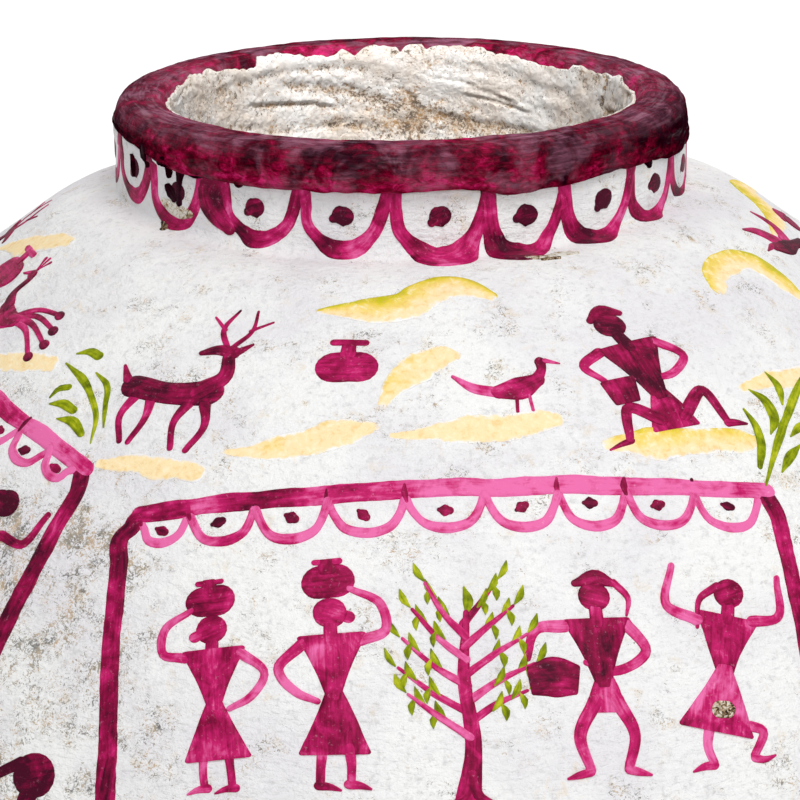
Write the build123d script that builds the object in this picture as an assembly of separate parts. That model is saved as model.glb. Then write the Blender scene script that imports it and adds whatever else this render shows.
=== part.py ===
from build123d import *
from math import acos, asin, cos, pi, sin, sqrt
import os

# A large round water jar of fired clay, limewashed white outside, with a short neck and a thick enamelled rim.
# Sizes are in millimetres. The origin is the middle of the flat that the jar stands on, and +Z runs up through
# the mouth. Every piece is turned about Z, so each one is drawn as a half section of (radius, height) points.

# The clay body is built up in courses from a flat base
body_radius = 280.0  # outside of the clay at the belly
belly_height = 216.0  # from the floor to the widest place
base_radius = 104.0  # flat that the jar stands on
base_thickness = 14.0
wall = 12.0
course_names = (
    "foot_course",
    "lower_course",
    "belly_course",
    "upper_course",
    "shoulder_course",
    "crown_course",
)

# Each course is bevelled where it meets the next, and a film of slip glues them
slip_thickness = 1.0
bevel = 6.0  # how far a joint's outer edge lies below its middle, and its inner edge above it
base_lap = 16.0  # from the edge of the inner floor up to the first joint
crown_lap = 22.0  # from the last joint up to where the crown is level

# The neck and the rim, of bare clay
bore_radius = 90.5
neck_wall = 13.0
neck_radius = bore_radius + neck_wall
neck_straight = 19.3
neck_flare = 7.0  # radius of the hollow curve from the crown into the neck
crown_round = 58.0  # radius of the curve in which the dome levels out round the neck
throat_round = 8.0  # radius of the inner edge where the neck opens into the body
rim_overhang = 5.3
rim_height = 16.0
rim_fall = 2.0  # the top is this much lower at its outer edge
rim_outer_round = 7.0
rim_inner_round = 6.0
rim_under_round = 2.0

# The coats
ground_coat_thickness = 2.5
coat_start = 3.5  # how far above the first joint's outer edge the white coat starts, with bare clay below it
plaster_thickness = 2.5
plaster_depth = 45.0  # how far the plaster reaches down the inside of the crown from where that is level
enamel_thickness = 1.2
enamel_turnover = 8.0  # how far down the mouth the enamel laps

# The lower half is an arc that starts on the flat's edge and runs plumb into the belly
lower_radius = (belly_height**2 + (body_radius - base_radius) ** 2) / (2 * (body_radius - base_radius))
lower_centre = body_radius - lower_radius
start_turn = asin((base_radius - lower_centre) / lower_radius)
belly_run = (pi / 2 - start_turn) * lower_radius

# The dome's arc runs up to the crown's tighter one, which is level where the neck's hollow curve begins
level_radius = neck_radius + neck_flare
crown_turn = acos(level_radius / (body_radius - crown_round))
crown_height = belly_height + (body_radius - crown_round) * sin(crown_turn)
crown_run = belly_run + crown_turn * body_radius
level_run = crown_run + (pi / 2 - crown_turn) * crown_round


def at(run, depth):
    """The point at this run up the outside of the clay from the flat's edge, and this depth under its surface."""
    if run < belly_run:
        turn, reach = start_turn + run / lower_radius, lower_radius - depth
        return (lower_centre + reach * sin(turn), belly_height - reach * cos(turn))
    if run < crown_run:
        turn, reach = (run - belly_run) / body_radius, body_radius - depth
        return (reach * cos(turn), belly_height + reach * sin(turn))
    turn, reach = crown_turn + (run - crown_run) / crown_round, crown_round - depth
    return (level_radius + reach * cos(turn), crown_height + reach * sin(turn))


def wall_arcs(start, end, depth):
    """The arcs that follow the wall at one depth between two runs, split where one curve gives way to the next."""
    stops = [start, *(run for run in (belly_run, crown_run) if start < run < end), end]
    return [
        ThreePointArc(at(low, depth), at((low + high) / 2, depth), at(high, depth))
        for low, high in zip(stops, stops[1:])
    ]


def throat(cylinder, depth, rounding):
    """The quarter round that joins the level of the crown at one depth to an upright cylinder, from the crown up."""
    level = crown_height + crown_round - depth
    centre_radius, centre_height = cylinder + rounding, level + rounding
    slant = rounding * sqrt(0.5)
    halfway = (centre_radius - slant, centre_height - slant)
    return ThreePointArc((centre_radius, level), halfway, (cylinder, centre_height))


def half_section(*edges):
    """The face inside a closed loop of edges, in (radius, height)."""
    return make_face(Curve() + list(edges))


def turned(section):
    """The solid that a half section makes when it is turned about the jar's axis."""
    return revolve(Plane.XZ * section, Axis.Z)


neck_curve = throat(neck_radius, 0, neck_flare)
bore_curve = throat(bore_radius, wall, throat_round)
rim_bottom = (neck_curve @ 1).Y + neck_straight
rim_top = rim_bottom + rim_height
enamel_edge = rim_top - enamel_turnover

floor_turn = acos((belly_height - base_thickness) / (lower_radius - wall))
floor_run = (floor_turn - start_turn) * lower_radius
base_joint = floor_run + base_lap
neck_joint = level_run - crown_lap
course_run = (neck_joint - base_joint) / len(course_names)
joints = [base_joint + course_run * n for n in range(len(course_names) + 1)]


def ring(start, end):
    """A turn of wall between two bevelled joints."""
    outside = wall_arcs(start - bevel, end - bevel, 0)
    inside = wall_arcs(start + bevel, end + bevel, wall)
    foot = Line(outside[0] @ 0, inside[0] @ 0)
    head = Line(outside[-1] @ 1, inside[-1] @ 1)
    return turned(half_section(*outside, *inside, foot, head))


def base_slab():
    """The disc that the first course stands on: flat underneath and flat inside, with a bevelled edge."""
    joint = base_joint - slip_thickness / 2
    outside = wall_arcs(0, joint - bevel, 0)
    inside = wall_arcs(floor_run, joint + bevel, wall)
    edge = Line(outside[-1] @ 1, inside[-1] @ 1)
    flats = Polyline(outside[0] @ 0, (0, 0), (0, base_thickness), inside[0] @ 0)
    return turned(half_section(*outside, edge, *inside, flats))


def neck_collar():
    """The flared collar between the last course and the rim."""
    joint = neck_joint + slip_thickness / 2
    outside = wall_arcs(joint - bevel, level_run, 0)
    inside = wall_arcs(joint + bevel, level_run, wall)
    foot = Line(outside[0] @ 0, inside[0] @ 0)
    top = rim_bottom - slip_thickness
    upright = Polyline(neck_curve @ 1, (neck_radius, top), (bore_radius, top), bore_curve @ 1)
    ceiling = Line(bore_curve @ 0, inside[-1] @ 1)
    return turned(half_section(foot, *outside, neck_curve, upright, bore_curve, ceiling, *inside))


def rim_slip():
    """The flat film of slip between the collar and the rim."""
    foot = rim_bottom - slip_thickness
    washer = Polyline(
        (bore_radius, foot), (neck_radius, foot), (neck_radius, rim_bottom), (bore_radius, rim_bottom), close=True
    )
    return turned(make_face(washer))


def rim_section():
    """The thick coil of the rim: a rounded bar whose top falls a little to the outside."""
    outer = neck_radius + rim_overhang
    under_corner, outer_corner = (outer, rim_bottom), (outer, rim_top - rim_fall)
    inner_corner = (bore_radius, rim_top)
    bar = make_face(Polyline((bore_radius, rim_bottom), under_corner, outer_corner, inner_corner, close=True))
    roundings = {under_corner: rim_under_round, outer_corner: rim_outer_round, inner_corner: rim_inner_round}
    for corner, rounding in roundings.items():
        bar = fillet(bar.vertices().sort_by_distance(corner)[:1], rounding)
    return bar


def rim_enamel(bar):
    """The enamel over the rim: from the white coat under its edge, over the top and a little down the mouth."""
    skin = offset(bar, enamel_thickness)
    under_collar = Rectangle(neck_radius + ground_coat_thickness, rim_bottom, align=Align.MIN)
    below_turnover = Rectangle(bore_radius, enamel_edge, align=Align.MIN)
    return turned(skin - bar - under_collar - below_turnover)


def ground_coat():
    """The white coat over the whole outside, from just above the flat to the underside of the rim."""
    skin_curve = throat(
        neck_radius + ground_coat_thickness, -ground_coat_thickness, neck_flare - ground_coat_thickness
    )
    start = base_joint - bevel + coat_start
    inside = wall_arcs(start, level_run, 0)
    outside = wall_arcs(start, level_run, -ground_coat_thickness)
    foot = Line(outside[0] @ 0, inside[0] @ 0)
    skin_top = (neck_radius + ground_coat_thickness, rim_bottom)
    upright = Polyline(neck_curve @ 1, (neck_radius, rim_bottom), skin_top, skin_curve @ 1)
    return turned(half_section(foot, *inside, neck_curve, upright, skin_curve, *outside))


def mouth_plaster():
    """The rough plaster inside the mouth, from the enamel's edge down through the throat and under the crown."""
    depth = wall + plaster_thickness
    skin_curve = throat(bore_radius - plaster_thickness, depth, throat_round + plaster_thickness)
    start = level_run - plaster_depth
    against_clay = wall_arcs(start, level_run, wall)
    against_air = wall_arcs(start, level_run, depth)
    foot = Line(against_clay[0] @ 0, against_air[0] @ 0)
    clay_ceiling, air_ceiling = Line(against_clay[-1] @ 1, bore_curve @ 0), Line(skin_curve @ 0, against_air[-1] @ 1)
    skin_top = (bore_radius - plaster_thickness, enamel_edge)
    upright = Polyline(bore_curve @ 1, (bore_radius, enamel_edge), skin_top, skin_curve @ 1)
    clay_side = [*against_clay, clay_ceiling, bore_curve]
    return turned(half_section(foot, *clay_side, upright, skin_curve, air_ceiling, *against_air))


def jar():
    """Every piece by name."""
    pieces = {"base_slab": base_slab()}
    film = slip_thickness / 2
    for name, low, high in zip(course_names, joints, joints[1:]):
        pieces["slip_under_" + name] = ring(low - film, low + film)
        pieces[name] = ring(low + film, high - film)
    pieces["slip_under_neck_collar"] = ring(neck_joint - film, neck_joint + film)
    pieces["neck_collar"] = neck_collar()
    pieces["slip_under_rim_coil"] = rim_slip()
    bar = rim_section()
    pieces["rim_coil"] = turned(bar)
    pieces["rim_enamel"] = rim_enamel(bar)
    pieces["ground_coat"] = ground_coat()
    pieces["mouth_plaster"] = mouth_plaster()
    return pieces


os.makedirs("parts", exist_ok=True)
for node, solid in jar().items():
    export_step(solid, "parts/" + node + ".step")
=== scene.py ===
from math import acos, asin, atan2, ceil, cos, pi, radians, sin, sqrt

import bpy
import numpy as np
from bpy.props import FloatProperty, FloatVectorProperty, IntProperty, PointerProperty
from mathutils import Matrix, Vector


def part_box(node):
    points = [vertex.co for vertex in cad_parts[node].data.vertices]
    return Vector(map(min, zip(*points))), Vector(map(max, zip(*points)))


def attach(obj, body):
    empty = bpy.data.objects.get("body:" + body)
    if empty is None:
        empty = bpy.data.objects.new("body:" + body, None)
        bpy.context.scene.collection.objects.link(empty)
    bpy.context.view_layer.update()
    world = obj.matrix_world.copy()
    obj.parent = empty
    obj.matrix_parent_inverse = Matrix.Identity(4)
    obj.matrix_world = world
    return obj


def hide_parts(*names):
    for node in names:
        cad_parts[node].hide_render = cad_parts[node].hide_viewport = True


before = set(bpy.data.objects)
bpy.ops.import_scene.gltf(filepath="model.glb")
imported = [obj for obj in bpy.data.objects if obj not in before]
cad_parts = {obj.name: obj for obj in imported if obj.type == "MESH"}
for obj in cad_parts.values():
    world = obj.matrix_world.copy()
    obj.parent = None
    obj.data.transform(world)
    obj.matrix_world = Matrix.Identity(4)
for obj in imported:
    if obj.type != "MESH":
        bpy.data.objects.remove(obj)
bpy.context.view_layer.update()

bl_info = {
    "name": "Painted water jar",
    "version": (1, 0, 0),
    "blender": (4, 5, 0),
    "location": "View3D > Sidebar > Jar",
    "description": "Gives a turned clay jar its limewash, painted ornament, rim enamel and mouth plaster",
    "category": "Object",
}

MM = 0.001
TURN = 2 * pi

coat_low, coat_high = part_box("ground_coat")
belly_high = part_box("belly_course")[1]
neck_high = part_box("slip_under_rim_coil")[1]
rim_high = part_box("rim_enamel")[1]
plaster_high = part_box("mouth_plaster")[1]

# Roundings of the enamel at the rim's outer, inner and lower edges, and of the plaster where the neck
# opens into the body
OUTER_ROUND, INNER_ROUND, UNDER_ROUND, LIP_ROUND = 8.2 * MM, 7.2 * MM, 3.2 * MM, 10.5 * MM


def srgb(*screen):
    """A linear colour from the 0 to 255 numbers of a screen colour."""
    return tuple(((c / 255 + 0.055) / 1.055) ** 2.4 if c > 10 else c / 255 / 12.92 for c in screen)


def length(name, description, default):
    return FloatProperty(name=name, description=description, default=default, unit="LENGTH", precision=4)


def colour(name, description, *screen):
    return FloatVectorProperty(
        name=name, description=description, default=srgb(*screen), subtype="COLOR", size=3, min=0, max=1
    )


class JarSizes(bpy.types.PropertyGroup):
    """Sizes of the jar that its coats and its painting follow"""

    belly_radius: length("Belly radius", "Outside of the white coat at the belly", coat_high.x)
    belly_height: length("Belly height", "From the floor to the widest place", 216 * MM)
    base_radius: length("Base radius", "Flat that the jar stands on", 104 * MM)
    coat_thickness: length("Coat thickness", "White coat over the clay", coat_high.x - belly_high.x)
    coat_foot: length("Coat's foot", "Height at which the white coat ends", coat_low.z)
    neck_radius: length("Neck radius", "Outside of the neck's clay", neck_high.x)
    neck_flare: length("Neck flare", "Radius of the hollow curve under the neck", 4.5 * MM)
    crown_round: length("Crown round", "Radius in which the dome levels out round the neck", 60.5 * MM)
    rim_underside: length("Rim underside", "Height of the lower edge of the rim's clay", neck_high.z)
    rim_radius: length("Rim radius", "Outside of the rim's enamel", rim_high.x)
    rim_top: length("Rim top", "Highest place of the rim's enamel", rim_high.z)
    rim_fall: length("Rim fall", "How much lower the rim's top is at its outer edge in front", 2 * MM)
    mouth_radius: length("Mouth radius", "Inside of the enamel where it laps into the mouth", 89.3 * MM)
    enamel_thickness: length("Enamel thickness", "Enamel over the rim's clay", 1.2 * MM)
    enamel_edge: length("Enamel's edge", "Height at which the enamel ends in the mouth", plaster_high.z)
    crown_depth: length("Crown depth", "Wall and plaster together, under the white coat", 17 * MM)
    unevenness: length("Unevenness", "How far the hand-built wall dips under a true round", 1.5 * MM)
    neck_swell: length("Neck swell", "How much wider the white neck is at its sides than in front", 4.6 * MM)
    scallops: IntProperty(name="Scallops", description="Hanging scallops round the neck", default=20, min=11)
    panels: IntProperty(name="Panels", description="Ruled panels round the shoulder", default=5, min=1)
    panel_height: length("Panel height", "Between the middles of a panel's level lines", 136 * MM)


class JarPaints(bpy.types.PropertyGroup):
    """Colours of the clay, the coats and the paints"""

    clay: colour("Clay", "Fired terracotta", 186, 112, 74)
    white: colour("White", "Limewash", 246, 246, 245)
    pink: colour("Pink", "Magenta where it is brushed thin", 230, 108, 168)
    magenta: colour("Magenta", "Magenta at its usual strength", 194, 28, 102)
    crimson: colour("Crimson", "Magenta brushed twice", 136, 6, 60)
    maroon: colour("Maroon", "Magenta brushed thick", 70, 2, 32)
    ochre: colour("Ochre", "Ground under the figures", 250, 226, 178)
    lemon: colour("Lemon", "Upper edge of that ground", 230, 204, 64)
    leaf: colour("Leaf", "Sprigs and trees", 134, 148, 0)
    plaster: colour("Plaster", "Rough lining of the mouth", 253, 250, 246)


def jar_sizes():
    return bpy.context.scene.jar_sizes


def paint(name):
    return tuple(getattr(bpy.context.scene.jar_paints, name))


# Surfaces


def lumps(points, size, seed, waves=28):
    """A smooth random field about 0, mostly within -1 and 1: the sum of plane waves of about one length,
    each in a random direction, times 0.9 over the root of their number."""
    draw = np.random.default_rng(seed)
    facing = draw.normal(size=(waves, 3))
    facing /= np.linalg.norm(facing, axis=1, keepdims=True)
    pace = TURN / (size * draw.uniform(0.75, 1.35, waves))
    phase = draw.uniform(0, TURN, waves)
    field = np.zeros(points.shape[:-1])
    for n in range(waves):
        field += np.cos(points @ (facing[n] * pace[n]) + phase[n])
    return field / sqrt(waves) * 0.9


def layered(points, *layers):
    """The sum of lumps of several sizes, each with its share, its size in millimetres and its seed."""
    return sum(share * lumps(points, size * MM, seed) for share, size, seed in layers)


def arc(centre, radius, start, end):
    """Points on a circle from one angle to another, in (radius, height)."""
    angle = np.linspace(start, end, 48)
    return np.array(centre) + radius * np.stack([np.cos(angle), np.sin(angle)], 1)


def rounded(before, corner, after, radius):
    """The arc that takes a corner's place: it touches the lines from the corner to the points before and
    after."""
    before, corner, after = (np.array(point, float) for point in (before, corner, after))
    back, ahead = before - corner, after - corner
    back, ahead = back / np.linalg.norm(back), ahead / np.linalg.norm(ahead)
    half = 0.5 * np.arccos(np.dot(back, ahead))
    middle = back + ahead
    centre = corner + middle / np.linalg.norm(middle) * radius / sin(half)
    first = corner + back * radius / np.tan(half) - centre
    last = corner + ahead * radius / np.tan(half) - centre
    start = atan2(first[1], first[0])
    turn = (atan2(last[1], last[0]) - start + pi) % TURN - pi
    return arc(centre, radius, start, start + turn)


def reached(line):
    """The length so far at each point of a line."""
    return np.concatenate([[0], np.cumsum(np.linalg.norm(np.diff(line, axis=0), axis=1))])


def picked(line, run, reach):
    """The points of a line in (radius, height) at lengths along it, where its own points have theirs."""
    return np.stack([np.interp(reach, run, line[:, n]) for n in (0, 1)], -1)


def directions(line):
    """The unit vectors along a line and to the right of its way."""
    way = np.gradient(line, axis=0)
    way /= np.linalg.norm(way, axis=1, keepdims=True)
    return way, np.stack([way[:, 1], -way[:, 0]], 1)


def outline(runs, count):
    """An outline in (radius, height) through runs of points, evenly spaced, with the normals to the right
    of its way and its length so far."""
    line = np.concatenate([np.atleast_2d(run) for run in runs])
    reach = reached(line)
    run = np.linspace(0, reach[-1], count)
    line = picked(line, reach, run)
    return line, directions(line)[1], run


def turned(line, angle):
    """Points of (radius, height) carried round the jar's axis, by angles from the front to the right."""
    radius, height, angle = np.broadcast_arrays(line[..., 0], line[..., 1], angle)
    return np.stack([radius * np.sin(angle), -radius * np.cos(angle), height], -1)


# Where the enamel's lower edge stands above the rim's underside: angles from the front, and millimetres
HEM = (
    (-180, -110, -84, -66, -55, -47, -40, -20, 0, 8, 14, 18, 22, 30, 38, 50, 62, 70, 84, 120, 180),
    (0, 4, 5.5, 5, 2.5, 0.6, 0.2, 0.2, -0.2, 0.5, -0.3, -1.7, -2.5, -1.8, -0.4, -1, -1.5, -3.4, -3.2, -1, 0),
)


def hem(angle):
    """How far the enamel's lower edge stands above the rim's underside."""
    return MM * np.interp((np.degrees(angle) + 180) % 360 - 180, *HEM)


class Skin:
    """The jar's white outside. A place on it is an angle round the jar, from the front to the right, and
    a drop, the length down the outside from under the rim. The outside is the neck's cylinder, a hollow
    quarter round, a tight arc that starts level, a sphere down to the belly and one more arc from the
    belly to the flat's edge, all turned about Z."""

    def __init__(self, jar):
        self.jar = jar
        radius, height, flare, bend = jar.belly_radius, jar.belly_height, jar.neck_flare, jar.crown_round
        self.neck = jar.neck_radius + jar.coat_thickness
        self.level = self.neck + flare
        self.crown = acos(self.level / (radius - bend))
        self.heart = height + (radius - bend) * sin(self.crown)
        foot = self.heart + bend + flare
        reach = radius - jar.coat_thickness - jar.base_radius
        lower = (height**2 + reach**2) / (2 * reach)
        low_turn = -asin(height / lower)
        lip = 8 * MM
        runs = [
            (self.neck, jar.rim_underside + lip),
            arc((self.level, foot), flare, pi, 1.5 * pi),
            arc((self.level, self.heart), bend, pi / 2, self.crown),
            arc((0, height), radius, self.crown, 0),
            arc((radius - jar.coat_thickness - lower, height), lower + jar.coat_thickness, 0, low_turn),
        ]
        self.line, inward, run = outline(runs, 2400)
        self.outward, self.run = -inward, run - lip
        self.dome_drop = jar.rim_underside - foot + flare * pi / 2 + bend * (pi / 2 - self.crown)
        self.foot = float(np.interp(-jar.coat_foot, -self.line[:, 1], self.run))

    def drop_at(self, latitude):
        """The drop of a latitude on the dome."""
        return self.dome_drop + (self.crown - latitude) * self.jar.belly_radius

    def latitude_at(self, drop):
        """The latitude on the dome of a drop."""
        return self.crown - (drop - self.dome_drop) / self.jar.belly_radius

    def radius_at(self, drop):
        """The jar's radius at a drop."""
        return float(np.interp(drop, self.run, self.line[:, 0]))

    # The lumps of the hand-built wall: share, size in millimetres and seed
    bulges = ((0.62, 130, 11), (0.24, 42, 12), (0.09, 15, 13))

    # The neck's swell is full down to half of this drop and gone at one and a half times it, and the coat
    # steps out this far over the rim's clay
    swell_reach, step_out = 50 * MM, 3.5 * MM

    def at(self, angle, drop, lift=0.0):
        """Points at a height over the uneven surface: the true round less a dip of broad, middling and
        small lumps. The neck swells at its sides by the fourth power of the angle's sine, and steps out
        over the rim's clay."""
        angle, drop, lift = np.broadcast_arrays(*(np.asarray(n, float) for n in (angle, drop, lift)))
        points, normals = (turned(picked(row, self.run, drop), angle) for row in (self.line, self.outward))
        over = np.clip(-drop / MM, 0, 1) * np.clip(hem(angle) / MM - 0.5, 0, 1)
        bulge = np.clip(0.5 - 0.5 * layered(points, *self.bulges), 0, 1)
        swell = self.jar.neck_swell * np.sin(angle) ** 4 * np.clip(1.5 - drop / self.swell_reach, 0, 1)
        swell = np.maximum(swell, self.step_out * over)
        dip = self.jar.unevenness * bulge * (1 - over)
        return points + normals * (lift + swell - dip)[..., None]


class Facing:
    """A place on the dome as a painter faces it, by its angle in degrees and its drop in millimetres:
    lengths to the right and up from its middle, where up follows the middle's own meridian and right
    follows the great circle square to it."""

    def __init__(self, skin, turn, drop):
        self.skin, self.angle, self.middle = skin, radians(turn), skin.latitude_at(drop * MM)

    def place(self, right, up):
        latitude = self.middle + up / self.skin.jar.belly_radius
        side = right / self.skin.jar.belly_radius
        angle = self.angle + np.arctan2(np.sin(side), np.cos(side) * np.cos(latitude))
        return angle, self.skin.drop_at(np.arcsin(np.cos(side) * np.sin(latitude)))


class Band:
    """A place on a band round the jar: lengths to the right along the parallel at its drop, and up."""

    def __init__(self, skin, angle, drop):
        self.angle, self.drop, self.radius = angle, drop, skin.radius_at(drop)

    def place(self, right, up):
        return self.angle + right / self.radius, self.drop - up


def smooth_line(path, spacing):
    """A curve through the rows of a path, evenly spaced by the length of its chords: between two rows it
    is the cubic whose slope at each is the mean of the slopes on its two sides."""
    path = np.asarray(path, float)
    reach = reached(path[:, :2])
    slope = np.gradient(path, reach, axis=0)
    run = np.linspace(0, reach[-1], max(5, ceil(reach[-1] / spacing) + 1))
    low = np.clip(np.searchsorted(reach, run, side="right") - 1, 0, len(path) - 2)
    gap = (reach[low + 1] - reach[low])[:, None]
    t = (run - reach[low])[:, None] / gap
    start, end = (2 * t**3 - 3 * t**2 + 1) * path[low], (3 * t**2 - 2 * t**3) * path[low + 1]
    return start + end + gap * ((t**3 - 2 * t**2 + t) * slope[low] + (t**3 - t**2) * slope[low + 1])


# Meshes


def grid_faces(rows, columns, ring_rows=False):
    """The corners of each face of a grid of points whose columns close on themselves, and its rows too if
    told."""
    row, column = np.arange(rows if ring_rows else rows - 1), np.arange(columns)
    low, left = np.meshgrid(row, column, indexing="ij")
    high, right = (low + 1) % rows, (left + 1) % columns
    corners = (low * columns + left, low * columns + right, high * columns + right, high * columns + left)
    return np.stack(corners, -1).reshape(-1, 4)


def added(name, data):
    """A new object in the scene."""
    made = bpy.data.objects.new(name, data)
    bpy.context.scene.collection.objects.link(made)
    return made


def new_piece(name, points, quads, slot, material, node=None, **values):
    """A closed mesh from points and four-cornered faces, as a piece of the jar, with its points' own
    values."""
    mesh = bpy.data.meshes.new(name)
    count = points.size // 3
    mesh.vertices.add(count)
    mesh.vertices.foreach_set("co", np.ascontiguousarray(points, np.float32).ravel())
    mesh.loops.add(quads.size)
    mesh.loops.foreach_set("vertex_index", np.ascontiguousarray(quads, np.int32).ravel())
    mesh.polygons.add(len(quads))
    mesh.polygons.foreach_set("loop_start", np.arange(0, quads.size, 4, dtype=np.int32))
    mesh.update(calc_edges=True)
    mesh.polygons.foreach_set("use_smooth", np.ones(len(quads), bool))
    for label, value in values.items():
        kind, field = ("FLOAT_VECTOR", "vector") if value.size > count else ("FLOAT", "value")
        layer = mesh.attributes.new(label, kind, "POINT")
        layer.data.foreach_set(field, np.ascontiguousarray(value, np.float32).ravel())
    mesh.materials.append(material)
    piece = added(name, mesh)
    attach(piece, "root")
    if node:
        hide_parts(node)


def new_shell(name, shown, hidden, slot, material, node, turn_over=False, **values):
    """A closed coat round the jar, from rings of points over its shown side and back along its hidden
    one."""
    rings = np.concatenate([shown, hidden])
    quads = grid_faces(len(rings), rings.shape[1], ring_rows=True)
    new_piece(name, rings, quads[:, ::-1] if turn_over else quads, slot, material, node, **values)


class Painting:
    """Brush strokes of one paint. Each lies on the coat as a thin closed ribbon, and together they are
    one piece."""

    # The points across a stroke, in shares of its half width and of the paint's thickness, and the faces
    # that close its ends
    across = np.array([-1, -0.93, -0.6, -0.2, 0.2, 0.6, 0.93, 1, 0.8, -0.8])
    rise = np.array([-0.4, 0.7, 1, 1, 1, 1, 0.7, -0.4, -2.5, -2.5])
    caps = np.array([[0, 1, 6, 7], [1, 2, 5, 6], [2, 3, 4, 5], [7, 8, 9, 0]])

    # Turns of the rows of points round a stroke's end, how far a blunt end stands out, and the narrowest
    # stroke
    cap_turns, blunt_reach, narrowest = np.radians([80, 60, 38, 18]), 0.9 * MM, 0.3 * MM

    # Lengths over which the hand wavers: in the stroke's middle, twice in its edges, and in its tone
    sway, coarse, fine, fade = 32 * MM, 15 * MM, 5 * MM, 30 * MM

    # Eight strokes in turn lie higher and higher by a share of the paint, so that none shows through the
    # next, and streaks are drawn out along a stroke
    step, drawn_out = 0.18, 0.13

    def __init__(self, skin, seed, thickness=0.22 * MM, tremor=0.22 * MM):
        self.skin, self.draw, self.parts = skin, np.random.default_rng(seed), []
        self.thickness, self.tremor = thickness, tremor

    def wobble(self, run, size):
        """An unsteady hand along a run, about 0."""
        places = np.stack([run, np.zeros_like(run), np.zeros_like(run)], -1)
        return lumps(places, size, int(self.draw.integers(1 << 30)), 8)

    def stroke(self, canvas, path, widths, tone=0.5, blunt=False, sided=0.0, spacing=1.7 * MM, facing=None):
        """One pull of the brush along a path, in millimetres on a canvas. Across it, points at set shares
        of its half width stand at set shares of the paint's thickness. Its ends are half rounds, or
        nearly square. Its tone can change along it, and climb from its right side to its left. Its right
        side faces square to its way, or as given."""
        count = len(path)
        table = np.column_stack([path, np.broadcast_to(widths, count), np.broadcast_to(tone, count)])
        table = table * (MM, MM, MM, 1)
        line = smooth_line(table if facing is None else np.column_stack([table, facing]), spacing)
        middle, half = line[:, :2], np.maximum(line[:, 2], self.narrowest) / 2
        way, side = directions(middle)
        turn, back = self.cap_turns, self.cap_turns[::-1]
        first, last = (min(end, self.blunt_reach) if blunt else end for end in (half[0], half[-1]))
        before = middle[0] - way[0] * first * np.sin(turn)[:, None]
        after = middle[-1] + way[-1] * last * np.sin(back)[:, None]
        middle = np.concatenate([before, middle, after])
        tips = half[0] - first * (1 - np.cos(turn)), half[-1] - last * (1 - np.cos(back))
        half = np.concatenate([tips[0], half, tips[1]])
        run = reached(middle)
        side = np.pad(side, ((4, 4), (0, 0)), "edge")
        if facing is not None:
            side[4:-4] = line[:, 4:] / np.linalg.norm(line[:, 4:], axis=1, keepdims=True)
        middle = middle + side * (self.tremor * self.wobble(run, self.sway))[:, None]
        edges = []
        for _ in (0, 1):
            unsteady = 0.7 * self.wobble(run, self.coarse) + 0.3 * self.wobble(run, self.fine)
            edges.append((half + self.tremor * unsteady * half / half.max())[:, None])
        share = self.across * np.where(self.across < 0, *edges)
        flat = middle[:, None] + side[:, None] * share[..., None]
        lift = self.thickness * (1 + self.step * (len(self.parts) % 8))
        angle, drop = canvas.place(flat[..., 0], flat[..., 1])
        points = self.skin.at(angle, drop, lift * self.rise)
        rows, columns = share.shape
        start = sum(len(part[0]) for part in self.parts)
        final = self.caps + (rows - 1) * columns
        quads = np.concatenate([grid_faces(rows, columns), self.caps[:, ::-1], final])
        ends = np.minimum(run, run[-1] - run)[:, None]
        edge = np.maximum(abs(self.across), 1 - ends / np.maximum(half.max(), 1 * MM))
        mark = np.full_like(share, self.draw.uniform(0, 1))
        stroke = np.stack([run[:, None] * self.drawn_out + 0 * share, share, mark], -1)
        deep = np.pad(line[:, 3], 4, "edge") + self.draw.uniform(-0.06, 0.06)
        deep = (deep + 0.12 * self.wobble(run, self.fade))[:, None] - sided * self.across
        values = (stroke.reshape(-1, 3), deep.ravel(), np.clip(edge, 0, 1).ravel())
        self.parts.append((points.reshape(-1, 3), quads + start, *values))

    def finish(self, name, material, slot="white_coat"):
        """All the strokes so far as one piece."""
        points, quads, stroke, tone, edge = (np.concatenate(part) for part in zip(*self.parts))
        new_piece(name, points, quads, slot, material, stroke=stroke, tone=tone, edge=edge)


class Figure:
    """A motif's own paper on a canvas, in millimetres from the spot it stands on, with its size, lean,
    facing and tone."""

    def __init__(self, painting, canvas, right=0, up=0, size=1.0, lean=0.0, flip=False, tone=0.0):
        self.painting, self.canvas, self.spot = painting, canvas, np.array([right, up], float)
        self.size, self.lean, self.flip, self.tone = size, radians(lean), -1 if flip else 1, tone

    def stroke(self, path, widths, darker=0.0, blunt=False, sided=0.0):
        """A stroke that is darker than the motif by one number, or by one for each point."""
        path = np.array(path, float) * self.size * (self.flip, 1)
        lean = np.array([[cos(self.lean), -sin(self.lean)], [sin(self.lean), cos(self.lean)]])
        widths, tone = np.array(widths, float) * self.size, np.array(darker) + self.tone
        self.painting.stroke(self.canvas, path @ lean + self.spot, widths, tone, blunt, sided)

    def strokes(self, *rows):
        """Strokes in turn."""
        for row in rows:
            self.stroke(*row)


# Motifs


# Each row has a stroke's points and widths, how much darker it is than the motif, and whether its ends are
# nearly square. These are the widths along a leg, a foot and a raised arm.
LEG, FOOT, ARM = (4, 3.4, 3.4), (3.6, 2.8, 1), (4.6, 3.8, 2.6)


def oval(right, up, width, height):
    """The points and the width of an oval dab."""
    reach = max((width - height) / 2, 0.3)
    return ((right - reach, up - 0.1), (right, up), (right + reach, up + 0.1)), height


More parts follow.
